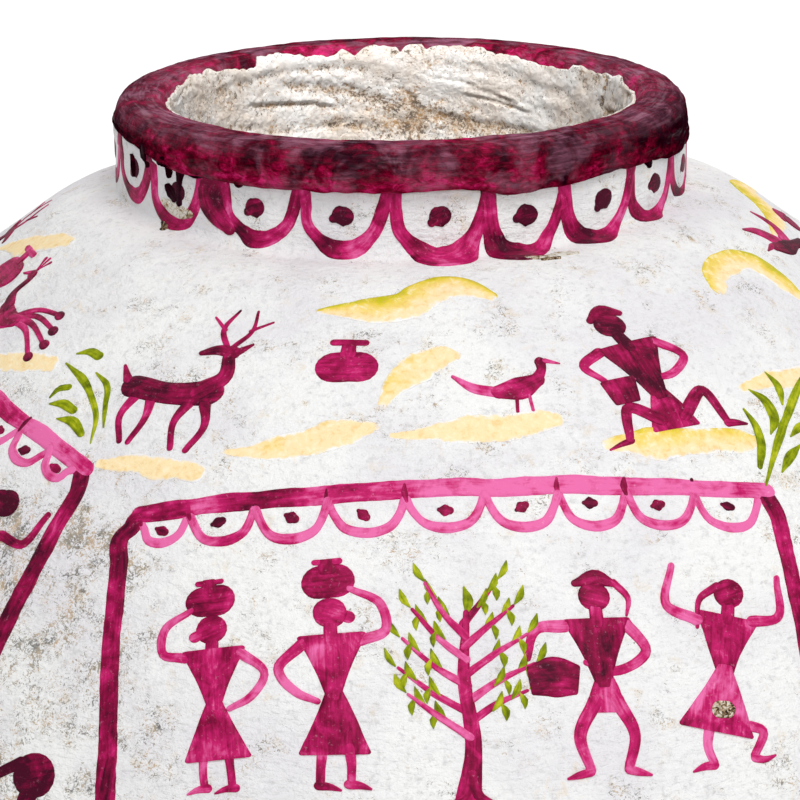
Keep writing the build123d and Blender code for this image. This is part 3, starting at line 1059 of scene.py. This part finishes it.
class JAR_OT_plaster(bpy.types.Operator):
    """Lines the mouth with rough plaster"""

    bl_idname = "jar.plaster"
    bl_label = "Mouth plaster"

    # How far down its outline the plaster's edge lies: angles round the jar, and millimetres
    edge = (
        (
            0, 60, 98, 108, 115, 119, 124, 129, 131, 135, 144, 152, 157, 160, 170, 173, 174.5, 177, 180,
            181, 188, 192, 195, 200, 204, 208, 213, 219.4, 220.4, 229, 235, 238, 241, 250, 256, 300, 360,
        ),
        (
            3, 2, 4.8, 2.7, 3.5, 5, 4, 3.4, 6.4, 6, 4.8, 3, 2.6, 0.6, 0.8, 2.4, 0.2, 0.2, 3.2,
            1, 0.9, 3.6, 1.6, 4, 3.8, 2, 0.8, 0.4, 4.8, 4, 3.9, 1.2, 2.2, 2.8, 4.2, 3, 3,
        ),
    )

    # Grooves of the trowel: angles round the jar, heights, width and depth, in degrees and millimetres
    grooves = (
        ((196, 204, 210, 226), (483, 485.8, 486.7, 489), 1.1, 1.0),
        ((180, 187, 193, 200, 216), (483, 486, 489.5, 492, 495), 2.2, 0.7),
        ((146, 154, 162), (485.6, 488.8, 491), 0.9, 1.1),
        ((142, 155, 165), (482.4, 486.8, 488.6), 0.9, 1.0),
        ((128, 155, 176), (492, 497, 502.5), 2.6, 0.5),
        ((186, 196, 214, 232), (498, 500.5, 500, 498), 1.8, 0.6),
        ((118, 140, 160, 178), (478, 475, 476, 481), 1.8, 0.6),
        ((184, 200, 222, 240), (474, 476, 479, 484), 2.0, 0.6),
    )

    # How far the plaster stands in from the enamel's curve over the crest and from its face down the
    # mouth, and how far it runs down the dome
    step, proud, tail = 0.8 * MM, 1.2 * MM, 14 * MM

    # Rows and columns of points and rows of hidden ones, and how far the hidden side lies under the mean
    # face, first in the mouth and then from a length down the outline on
    rows, columns, hidden_rows = 88, 960, 12
    near_depth, far_depth, deeper_from = 1.1 * MM, 2.0 * MM, 14 * MM

    def execute(self, context):
        jar = jar_sizes()
        skin = Skin(jar)
        bore, bend = jar.mouth_radius - self.proud, jar.crown_round - jar.crown_depth
        heart = (jar.mouth_radius + INNER_ROUND, jar.rim_top - INNER_ROUND)
        ceiling, dome = skin.heart + bend, jar.belly_radius - jar.crown_depth
        runs = [
            arc(heart, INNER_ROUND + self.step, radians(128), pi),
            arc((bore + LIP_ROUND, ceiling + LIP_ROUND), LIP_ROUND, pi, 1.5 * pi),
            arc((skin.level, skin.heart), bend, pi / 2, skin.crown),
            arc((0, jar.belly_height), dome, skin.crown, skin.crown - self.tail / dome),
        ]
        line, outward, run = outline(runs, 1200)
        angle = np.linspace(0, TURN, self.columns, endpoint=False)
        rim = turned(np.array([bore, jar.enamel_edge]), angle)
        jagged = np.interp(np.degrees(angle), *self.edge) + 0.6 * lumps(rim, 9 * MM, 42)
        start = np.clip(jagged + 0.4 * lumps(rim, 3 * MM, 43), 0.1, 8) * MM
        share = np.linspace(0, 1, self.rows)[:, None]
        reach = start + (run[-1] - start) * (0.6 * share + 0.4 * share**4)
        points, normals = (turned(picked(row, run, reach), angle) for row in (line, outward))
        x, y, z = (points[..., n] for n in range(3))
        swept = np.stack([x * 0.24, y * 0.24, z + 0.26 * x], -1)
        swept += (3 * MM * lumps(points, 30 * MM, 44))[..., None]
        crease = np.exp(-((lumps(swept, 22 * MM, 46) / 0.11) ** 2))
        crease = crease * np.clip(lumps(points, 40 * MM, 47) + 0.5, 0, 1)
        turn, height = np.degrees(angle) % 360, points[..., 2] / MM
        for turns, heights, width, depth in self.grooves:
            off = (height - np.interp(turn, turns, heights)) / width
            ends = np.clip(np.minimum(turn - turns[0], turns[-1] - turn) / 4, 0, 1)
            crease = crease + depth * ends * (np.exp(-(off**2)) - 0.5 * np.exp(-((off - 1.9) ** 2)))
        grain = layered(points, (0.5, 6, 48), (0.5, 2.6, 49))
        swell = layered(swept, (0.5, 26, 45), (0.22, 7, 50)) + 0.3 * grain - 0.9 * crease
        swell = MM * np.clip(swell, -1.2, 1.3) * np.clip((reach - start) / (2 * MM), 0.1, 1)
        points = points + normals * swell[..., None]
        reach = start + (run[-1] - start) * np.linspace(1, 0, self.hidden_rows)[:, None]
        behind, facing = (turned(picked(row, run, reach), angle) for row in (line, outward))
        under = np.where(reach > self.deeper_from, self.far_depth, self.near_depth)
        hidden = behind - facing * under[..., None]
        hollow = np.concatenate([-swell / MM, np.zeros(hidden.shape[:2])])
        slot, plaster = "mouth_plaster", mouth_plaster()
        new_shell("rough_mouth_plaster", points, hidden, slot, plaster, "mouth_plaster", hollow=hollow)
        return {"FINISHED"}


class JAR_OT_border(bpy.types.Operator):
    """Paints the hanging scallops and their dots round the neck"""

    bl_idname = "jar.border"
    bl_label = "Neck border"

    # The clear field in each scallop that shows: the angles from the front of its top corners, its depth,
    # the width of the stroke at its heaviest, the share of the field at which that is, and how far its
    # dot is off the middle
    fields = (
        (-93, -76, 17, 6, 0.5, 0),
        (-73, -60, 17, 6.5, 0.5, 0),
        (-57, -44, 18, 8, 0.4, 0),
        (-36, -21.5, 17.2, 6.6, 0.4, -3.6),
        (-18.3, -4.2, 18.4, 6.6, 0.5, -2.2),
        (-0.2, 15.9, 20.4, 14, 0.5, -2),
        (18.4, 32.5, 21.8, 13.5, 0.31, -2.3),
        (35.2, 50.7, 21.2, 11, 0.32, 0),
        (52.8, 67.5, 19.6, 8.8, 0.36, 0),
        (70.5, 84, 18, 7, 0.45, 0),
    )

    # A field's outline from its top left corner round its foot, in shares of its width and depth, and the
    # stroke's tone along it
    shares = np.transpose([
        (0, 0.02, 0.06, 0.2, 0.38, 0.6, 0.78, 0.91, 1),
        (0, 0.35, 0.7, 0.91, 1, 0.97, 0.78, 0.43, 0),
    ])
    tones = np.array([0.62, 0.5, 0.55, 0.8, 0.6, 0.38, 0.36, 0.5, 0.6])

    def execute(self, context):
        jar = jar_sizes()
        skin = Skin(jar)
        draw = np.random.default_rng(51)
        unseen = jar.scallops - len(self.fields)
        gap = (360 + self.fields[0][0] - self.fields[-1][1]) / unseen
        fields = list(self.fields)
        for n in range(unseen):
            start = self.fields[-1][1] + gap * n + draw.uniform(-0.8, 0.8)
            weight, place = draw.uniform(6.5, 12), draw.uniform(0.32, 0.5)
            low, aside = draw.uniform(17, 21), draw.uniform(-2, 1)
            fields.append((start + 1.4, start + gap - 1.4, low, weight, place, aside))
        bands, dots = Painting(skin, 52, tremor=0.4 * MM), Painting(skin, 53, tremor=0.3 * MM)
        for left, right, low, weight, place, aside in fields:
            middle = radians((left + right) / 2)
            canvas = Band(skin, middle, -max(hem(middle), 0))
            wide = radians(right - left) * canvas.radius / MM
            field = (self.shares - (0.5, 0)) * (wide, -low)
            field[1:-1] += draw.uniform(-0.4, 0.4, (len(field) - 2, 2))
            out, across = directions(field)[1], self.shares[:, 0]
            arms = (*draw.uniform(4.4, 5.2, 2), *draw.uniform(4.2, 5.2, 2))
            arm = np.interp(across, (0, 0.1, 0.9, 1), arms)
            widths = arm + (weight - arm) * np.exp(-(((across - place) / 0.22) ** 2))
            tone = self.tones + draw.uniform(-0.12, 0.14, len(field))
            bands.stroke(canvas, field + out * widths[:, None] / 2, widths, tone, spacing=1 * MM, facing=out)
            spot = (aside + draw.uniform(-0.4, 0.4), -0.55 * low + draw.uniform(-0.5, 0.5))
            size = draw.uniform(0.94, 1.08) * min(1, wide / 25)
            dab = Figure(dots, canvas, *spot, size, lean=draw.uniform(-30, 20))
            dab.stroke(((-2.5, -0.9), (-0.9, -0.2), (0.6, 0.1), (1.5, 0.2)), (3.4, 7, 8.2, 7.4), 0.95)
        thick = Figure(bands, Band(skin, radians(-41.5), 0))
        thick.stroke(((4.5, 0), (1.2, -6), (4, -12), (9, -17)), (11, 15, 12, 7), (0.6, 0.75, 0.66, 0.6))
        magenta = magenta_paint()
        bands.finish("neck_scallops", magenta)
        dots.finish("neck_dots", magenta)
        return {"FINISHED"}


# Each panel: the angle from the front of its middle and the drop of its top line, and how far its top
# corners and its feet stand to the left and right of the middle
PANELS = (
    (4.5, 133.5, -112.5, 112.5, -126, 128),
    (76, 124, -114, 113, -127, 127),
    (149, 130, -112, 114, -126, 128),
    (220, 121, -114, 112, -128, 126),
    (292.9, 114.5, -114, 117, -128, 142),
)


def top_line(right):
    """How high a panel's top line stands at a distance from its middle: it sags there by 2, and its rise
    to the corners grows with the square of that distance."""
    return 5.6 * (np.asarray(right) / 112) ** 2 - 2


def upright(top, foot, rise, tall):
    """The path of a panel's upright line from its foot to just under its corner: as the share of its
    height below the corner grows, its distance from the corner's meridian grows with that share to the
    power 0.6."""
    share = np.array([1.02, 0.6, 0.3, 0.13, 0.06])
    return np.column_stack([top + (foot - top) * share**0.6, rise - (tall + rise) * share])


class JAR_OT_panels(bpy.types.Operator):
    """Paints each ruled panel and the scalloped valance under its top line"""

    bl_idname = "jar.panels"
    bl_label = "Ruled panels"

    # Middles of the valance's scallops, from the panel's own middle, in the front panel and in the one to
    # its left
    middles = (-101, -79, -55, -30, -3, 23, 47, 71, 97)
    left_middles = (-102, -80, -57, -34, -10, 12, 34, 52, 71, 89.5, 108)

    def execute(self, context):
        jar = jar_sizes()
        skin = Skin(jar)
        magenta = magenta_paint()
        tall = jar.panel_height / MM
        for number, (turn, drop, left, right, left_foot, right_foot) in enumerate(PANELS[: jar.panels]):
            draw = np.random.default_rng(60 + number)
            canvas = Facing(skin, turn, drop)
            lines = Painting(skin, 70 + number, tremor=0.35 * MM)
            foot = [(left_foot + 2, -tall), (0, -tall + draw.uniform(-1, 1)), (right_foot - 2, -tall)]
            lines.stroke(canvas, foot, 7.4, 0.45)
            lift = top_line(left + 7)
            bend = np.radians([165, 135, 105])
            corner = np.column_stack([left + 7 + 5.5 * np.cos(bend), lift - 5.5 + 5.5 * np.sin(bend)])
            side = upright(left, left_foot, top_line(left), tall)
            tone = (0.62, 0.7, 0.58, 0.72, 0.8, 0.76, 0.56, 0.5)
            widths = (7, 7.2, 7, 6.6, 6.6, 6.6, 6.6, 6.6)
            lines.stroke(canvas, [*side, *corner], widths, tone, spacing=1.2 * MM)
            side = upright(right, right_foot, top_line(right), tall)
            end = (right - 0.6, top_line(right) - 1)
            lines.stroke(canvas, [*side, end], (7, 7.2, 7, 6.8, 7, 7.2), (0.7, 0.62, 0.74, 0.6, 0.8, 0.7))
            along = np.linspace(left + 5, right, 19)
            top = np.column_stack([along, top_line(along) + draw.uniform(-0.4, 0.4, 19)])
            tones = np.where(along < -56, 0.46, 0.08) + draw.uniform(-0.12, 0.24, 19)
            lines.stroke(canvas, top, 7.2 + draw.uniform(-0.5, 0.5, 19), tones)
            lines.finish("panel_lines_%d" % (number + 1), magenta)
            valance = Painting(skin, 80 + number, tremor=0.2 * MM)
            middles = self.left_middles if number == 4 else self.middles
            spots = np.array(middles) + draw.uniform(-1.5, 1.5, len(middles)) * (number % 4 > 0)
            edges = np.concatenate([[left + 4.5], (spots[1:] + spots[:-1]) / 2, [right - 3.5]])
            for middle, start, end in zip(spots, edges, edges[1:]):
                base = top_line(middle)
                low = min(15, 0.66 * (end - start)) + draw.uniform(-0.8, 0.8)
                path = np.array([
                    (start + 0.2, -3),
                    (start + 1.4, -0.45 * low),
                    (0.6 * start + 0.4 * middle, -0.85 * low),
                    (middle, -low),
                    (0.6 * end + 0.4 * middle, -0.85 * low),
                    (end - 1.4, -0.45 * low),
                    (end - 0.2, -3),
                ])
                widths, tone = (3.2, 3, 3.4, 4, 3.4, 3, 3.2), draw.uniform(-0.05, 0.16)
                valance.stroke(canvas, path + (0, base), widths, tone)
                spot = (middle + draw.uniform(-1.4, 1.4), base - 7.4 + draw.uniform(-0.8, 0.8))
                dab = Figure(valance, canvas, *spot, lean=draw.uniform(-40, 40))
                width, tone = draw.uniform(3.6, 5), draw.uniform(0.6, 0.95)
                dab.stroke(((-1.8, 0.3), (0, 0), (1.6, -0.2)), (1.6, width, 3), tone)
                tick = ((start, base + 2), (start - 0.3, base - 1), (start + 0.2, base - 4))
                valance.stroke(canvas, tick, (1.2, 2.6, 1.4), draw.uniform(0.5, 0.8))
            valance.finish("panel_valance_%d" % (number + 1), magenta)
        return {"FINISHED"}


class JAR_OT_figures(bpy.types.Operator):
    """Paints the figures in the panels"""

    bl_idname = "jar.figures"
    bl_label = "Panel figures"

    # The motifs of each panel: what, how far right and up, size, mirrored or not, and tone
    rows = (
        (
            (pot_carrier, -84, -102, 0.86, False, 0.42),
            (pot_carrier, -44, -103, 0.9, True, 0.46),
            (drummer, 46, -103, 0.95, True, 0.44),
            (dancer, 88, -102, 0.95, False, 0.36),
        ),
        (
            (dancer, -88, -102, 0.94, True, 0.4),
            (dancer, -40, -103, 0.96, False, 0.34),
            (drummer, 10, -102, 0.95, False, 0.4),
            (pot_carrier, 62, -103, 0.88, True, 0.36),
        ),
        (
            (deer, -78, -103, 1.0, False, 0.45),
            (water_pot, -34, -102, 1.0, False, 0.4),
            (pot_carrier, 38, -103, 0.88, False, 0.36),
            (deer, 84, -102, 0.95, True, 0.4),
        ),
        (
            (drummer, -86, -102, 0.95, False, 0.36),
            (dancer, -34, -103, 0.94, True, 0.3),
            (dancer, 36, -103, 0.94, False, 0.36),
            (drummer, 90, -102, 0.95, True, 0.4),
        ),
        (
            (pot_carrier, -86, -102, 0.88, False, 0.4),
            (deer, -36, -103, 0.98, True, 0.42),
            (pot_carrier, 44, -103, 0.88, True, 0.36),
            (dancer, 95, -88, 0.94, False, 0.85),
        ),
    )

    # How far right the tree of a panel stands, and where two birds fly in the panel without a tree: how
    # far right and up, and mirrored or not
    trees = {0: 0, 2: 4, 3: 0, 4: 8}
    birds = ((35, -34, False), (-66, -36, True))

    def execute(self, context):
        jar = jar_sizes()
        skin = Skin(jar)
        magenta, green = magenta_paint(), leaf_paint()
        for number, (turn, drop, *_) in enumerate(PANELS[: jar.panels]):
            canvas = Facing(skin, turn, drop)
            people = Painting(skin, 90 + number)
            for motif, right, up, size, flip, tone in self.rows[number]:
                motif(Figure(people, canvas, right, up, size, flip=flip, tone=tone))
            if number in self.trees:
                leaves = Painting(skin, 100 + number)
                spot = (canvas, self.trees[number], -109, 0.98)
                tree(Figure(people, *spot, tone=0.5), Figure(leaves, *spot, tone=0.5))
                leaves.finish("tree_leaves_%d" % (number + 1), green)
            else:
                for right, up, flip in self.birds:
                    flying_bird(Figure(people, canvas, right, up, 0.9, flip=flip, tone=0.35))
            people.finish("panel_figures_%d" % (number + 1), magenta)
        return {"FINISHED"}


class JAR_OT_band(bpy.types.Operator):
    """Paints the figures, the patches of ground and the sprigs between the neck and the panels"""

    bl_idname = "jar.band"
    bl_label = "Shoulder band"

    # Outlines of the patches of ground, each the middle line of one broad stroke and its widths
    arched = (
        ((-33, -4), (-24, -5), (-15, -5), (-5, -2.5), (4, 3), (12, 6.5), (20, 5), (27, 1.5)),
        (3, 8, 13, 15, 16, 14, 10, 5),
    )
    leaning = (((-13, -13), (-9, -6), (-3, 1), (3, 5), (8, 7), (12, 7)), (4, 9, 13, 13, 10, 4))
    rising = (
        ((-26, -5), (-15, -5), (-6, -3.5), (3, -2), (11, 2), (19, 5), (25, 7)),
        (2, 6, 10, 11.5, 11.5, 9, 4),
    )
    level = (((-20, -2), (-9, -1), (1, -1), (10, 0), (17, 1)), (4, 7.5, 9, 8.6, 8))
    long = (((-28, -1), (-16, -1), (-4, -1), (10, 0), (22, 2), (29, 3)), (2, 6, 10.5, 11, 9.5, 6))
    broad = (
        ((-26, 4), (-17, 2.5), (-8, 0), (2, -1), (14, -2), (25, -4), (30, -5)),
        (5, 9, 13.5, 11.5, 10, 10, 6),
    )
    hook = (
        ((-17, 2), (-12, 7), (-4, 10), (4, 10.5), (12, 8), (17, 2), (19, -6), (20, -15)),
        (7, 11, 12, 12, 13, 13, 12, 5),
    )

    # The patches: outline, angle from the front, drop, lean, and how lemon the upper edge is
    patches = (
        (arched, 1.5, 54, 0, 1.0),
        (leaning, 2, 89, 0, 0.35),
        (rising, -11, 117, 0, 0.2),
        (level, -26, 132, 0, 0.15),
        (long, 7, 113, 0, 0.05),
        (broad, 28.5, 127, 0, 0.75),
        (hook, 55, 72, 0, 0.9),
        (long, -76, 64, -20, 0.1),
        (level, -51, 105, -8, 0.1),
        (level, 46, 113, 10, 0.2),
        (arched, 88, 56, 0, 0.8),
        (rising, 98, 118, 6, 0.4),
        (hook, 124, 78, 0, 0.9),
        (broad, 143, 117, 8, 0.3),
        (leaning, 166, 90, -10, 0.2),
        (arched, 190, 58, 0, 0.9),
        (broad, 214, 116, 0, 0.5),
        (hook, 238, 80, -8, 0.9),
        (long, 258, 114, -4, 0.3),
    )

    # The blades of the two kinds of sprig, each with its path and widths
    tall = (
        (((-23, -7), (-9, 5), (7, 17), (18, 24), (26, 29)), (0.9, 3.2, 4, 3.4, 1)),
        (((-13, 22), (-12.5, 14.5), (-15, 7.5), (-21, 0)), (0.8, 3.6, 4.2, 2.2)),
        (((-5, 28.5), (-1, 22.5), (-2, 15.5), (-8, 10)), (0.8, 4.6, 5.2, 0.8)),
        (((7, 33), (8.5, 27), (5, 19.5)), (0.8, 4.4, 1)),
        (((-13, -4.5), (-6.5, -0.5), (2, 3)), (0.8, 4.4, 0.8)),
        (((0, 7), (7, 9.5), (15, 8)), (0.8, 4.4, 0.8)),
    )
    low = (
        (((16, -5), (11.5, 5.5), (3.5, 13.5), (-4, 18.5), (-14.5, 23)), (0.8, 2.4, 3, 3.4, 1)),
        (((17.5, 2), (13, 10), (8.5, 18), (1, 22)), (0.8, 2.6, 2.8, 0.8)),
        (((-13, 28), (-8, 30), (-3, 29)), (0.8, 3.8, 4.4)),
        (((-11.5, 8), (-10, 12), (-6.5, 13.5)), (0.8, 3, 3.2)),
        (((-10, 5.5), (-4.5, 7), (1.5, 5.5)), (0.8, 4.2, 3.6)),
        (((-3, 0.5), (3.5, 1), (10, -2.5)), (0.8, 4.4, 3.4)),
    )

    # A sprig stands between each two panels: its blades, angle, drop and lean
    sprigs = (
        (low, -38.5, 122, 0),
        (tall, 42, 142, 0),
        (low, 113, 131, 4),
        (tall, 185, 134, -4),
        (low, 256, 128, 0),
    )

    # The motifs of each stretch: what, angle, drop, size, mirrored or not, and tone
    stretches = (
        (
            (deer, -27, 125, 0.95, False, 0.72),
            (seated_drummer, 29, 125, 0.95, True, 0.72),
            (water_pot, -7, 94, 0.85, False, 0.45),
            (standing_bird, 13, 99, 0.95, False, 0.5),
            (peacock, -60, 104, 0.82, True, 0.6),
        ),
        ((flying_bird, 75, 72, 1.2, True, 0.7), (seated_drummer, 87, 118, 0.92, False, 0.7)),
        (
            (deer, 128, 122, 0.95, False, 0.7),
            (water_pot, 149, 94, 0.9, False, 0.5),
            (seated_drummer, 170, 122, 0.92, True, 0.7),
        ),
        (
            (flying_bird, 200, 89, 1.0, True, 0.5),
            (seated_drummer, 218, 118, 0.92, False, 0.7),
            (standing_bird, 240, 99, 1.0, False, 0.5),
        ),
        ((deer, 274, 115, 0.95, True, 0.7), (water_pot, 288, 85, 0.9, False, 0.5)),
    )

    # The dancers that stand lower down between the panels: angle, drop, mirrored or not
    lower = ((-30.4, 334, False), (41, 332, True), (112, 334, False), (184, 332, True), (256, 334, False))

    def execute(self, context):
        skin = Skin(jar_sizes())
        ground = Painting(skin, 110, thickness=0.1 * MM, tremor=0.8 * MM)
        for (path, widths), turn, drop, slant, lemon in self.patches:
            paper = Figure(ground, Facing(skin, turn, drop), lean=slant)
            paper.stroke(path, widths, 0.4 * lemon + 0.12, sided=0.55 * lemon)
        ground.finish("ochre_ground", ochre_wash())
        leaves = Painting(skin, 112)
        for blades, turn, drop, lean in self.sprigs:
            paper = Figure(leaves, Facing(skin, turn, drop), lean=lean, tone=0.5)
            for path, widths in blades:
                paper.stroke(path, np.array(widths) * 0.9)
        leaves.finish("leaf_sprigs", leaf_paint())
        magenta = magenta_paint()
        lower = [(dancer, turn, drop, 1.35, flip, 0.85) for turn, drop, flip in self.lower]
        rows = [("band_figures_%d" % (n + 1), 120 + n, row) for n, row in enumerate(self.stretches)]
        for name, seed, row in (*rows, ("lower_dancers", 130, lower)):
            people = Painting(skin, seed)
            for motif, turn, drop, size, flip, tone in row:
                motif(Figure(people, Facing(skin, turn, drop), size=size, flip=flip, tone=tone))
            people.finish(name, magenta)
        return {"FINISHED"}


class JAR_OT_chips(bpy.types.Operator):
    """Wears three small places through to the rough ground"""

    bl_idname = "jar.chips"
    bl_label = "Worn chips"

    # Each crumb's angle and drop, and its path, widths and darkness
    crumbs = (
        (-50.6, 15, ((-7.6, 1.6), (-3, 0), (3, -1), (7.6, -0.8)), (3.4, 6, 5.6, 3), 0.57),
        (-53.6, 24, ((-2, 2), (0.4, 0), (1.4, -2.6)), (2.2, 4, 2.2), 0.58),
        (24.8, 33, ((-5, 0.8), (-1, -0.4), (3, -0.2)), (2, 3.6, 3), 0.54),
        (28.4, 33.4, ((-4, -0.6), (0, 0.6), (4, 0.4), (7, -0.8)), (2.6, 4.2, 3.4, 1.4), 0.54),
        (26.4, 36, ((-4, 0.4), (2, -0.4)), (1.2, 1.8), 0.62),
        (24.5, 221.8, ((-1.2, 0.2), (1.2, -0.2)), (6.2, 6), 0.56),
    )

    def execute(self, context):
        skin = Skin(jar_sizes())
        chips = Painting(skin, 140, thickness=0.45 * MM, tremor=0.6 * MM)
        for turn, drop, path, widths, tone in self.crumbs:
            band = Band(skin, radians(turn), drop * MM)
            chips.stroke(band, path, widths, tone, spacing=0.8 * MM)
        chips.finish("worn_chips", worn_chip())
        return {"FINISHED"}


def aimed(place, aim):
    """The turn that faces a lamp or a camera from its place to its aim."""
    return (Vector(aim) - Vector(place)).to_track_quat("-Z", "Y")


class JAR_OT_stage(bpy.types.Operator):
    """Sets the pale floor, the soft studio lights and the camera at the photo's angle"""

    bl_idname = "jar.stage"
    bl_label = "Stage"

    # The narrow lamp's beam, and then each lamp's name and kind, where it hangs, what it is aimed at, its
    # power and its own settings
    beam = {"spot_size": radians(5.2), "spot_blend": 0.25, "shadow_soft_size": 0.03}
    lamps = (
        ("key_light", "AREA", (0.5, -1.25, 2.35), (0, 0, 0.42), 28.5, {"size": 1.1}),
        ("front_light", "AREA", (0.3, -2.6, 1.3), (0, 0, 0.45), 6, {"size": 1.0}),
        ("backdrop_light", "AREA", (0, 3.0, 1.9), (0, 3.0, 0), 42, {"size": 3.2}),
        ("mouth_light", "SPOT", (0, -1.0, 2.3), (0, 0.006, 0.507), 186, beam),
    )

    # How strong the even light from all round is, and how far the floor reaches each way
    daylight, floor_reach = 0.545, 6.0

    # The camera's angles in degrees and its distance, what it is aimed at, how wide its sensor is, and
    # how many times that its focal length is
    elevation, roll, distance = 16.84, -0.76, 1.3
    target = (-1.84 * MM, 0, 383.4 * MM)
    sensor, focus = 36, 3291 / 800

    def execute(self, context):
        floor = bpy.data.meshes.new("floor")
        far = self.floor_reach
        corners = [(-far, -far, 0), (far, -far, 0), (far, far, 0), (-far, far, 0)]
        floor.from_pydata(corners, [], [(0, 1, 2, 3)])
        stage = added("floor", floor)
        pale = Shader("pale_floor", Roughness=0.9, Base_Color=srgb(250, 250, 250))
        stage.data.materials.append(pale.material)
        world = bpy.data.worlds.new("studio")
        context.scene.world = world
        world.use_nodes = True
        background = world.node_tree.nodes["Background"]
        background.inputs[0].default_value = (1, 1, 1, 1)
        background.inputs[1].default_value = self.daylight
        for name, kind, place, aim, power, settings in self.lamps:
            lamp = bpy.data.lights.new(name, kind)
            for label, value in {"energy": power, **settings}.items():
                setattr(lamp, label, value)
            light = added(name, lamp)
            light.location = place
            light.rotation_euler = aimed(place, aim).to_euler()
        elevation, aim = radians(self.elevation), Vector(self.target)
        place = aim + self.distance * Vector((0, -cos(elevation), sin(elevation)))
        facing = aimed(place, aim).to_matrix() @ Matrix.Rotation(radians(self.roll), 3, "Z")
        lens = bpy.data.cameras.new("photo_camera")
        lens.sensor_fit, lens.sensor_width = "HORIZONTAL", self.sensor
        lens.lens = self.sensor * self.focus
        camera = added("photo_camera", lens)
        camera.matrix_world = Matrix.Translation(place) @ facing.to_4x4()
        context.scene.camera = camera
        context.scene.view_settings.view_transform = "Standard"
        return {"FINISHED"}


class JAR_PT_panel(bpy.types.Panel):
    """The jar's pieces and sizes"""

    bl_label = "Water jar"
    bl_idname = "JAR_PT_panel"
    bl_space_type = "VIEW_3D"
    bl_region_type = "UI"
    bl_category = "Jar"

    def draw(self, context):
        for group in (context.scene.jar_sizes, context.scene.jar_paints):
            for name in group.__annotations__:
                self.layout.prop(group, name)
        for operator in OPERATORS:
            self.layout.operator(operator.bl_idname)


OPERATORS = (
    JAR_OT_clay,
    JAR_OT_coat,
    JAR_OT_plaster,
    JAR_OT_rim,
    JAR_OT_border,
    JAR_OT_panels,
    JAR_OT_figures,
    JAR_OT_band,
    JAR_OT_chips,
    JAR_OT_stage,
)
CLASSES = (JarSizes, JarPaints, *OPERATORS, JAR_PT_panel)


def register():
    for item in CLASSES:
        bpy.utils.register_class(item)
    bpy.types.Scene.jar_sizes = PointerProperty(type=JarSizes)
    bpy.types.Scene.jar_paints = PointerProperty(type=JarPaints)


def unregister():
    del bpy.types.Scene.jar_sizes, bpy.types.Scene.jar_paints
    for item in reversed(CLASSES):
        bpy.utils.unregister_class(item)


def main():
    register()
    bpy.ops.jar.clay()
    bpy.ops.jar.coat()
    bpy.ops.jar.plaster()
    bpy.ops.jar.rim()
    bpy.ops.jar.border()
    bpy.ops.jar.panels()
    bpy.ops.jar.figures()
    bpy.ops.jar.band()
    bpy.ops.jar.chips()
    bpy.ops.jar.stage()


if __name__ == "__main__":
    main()
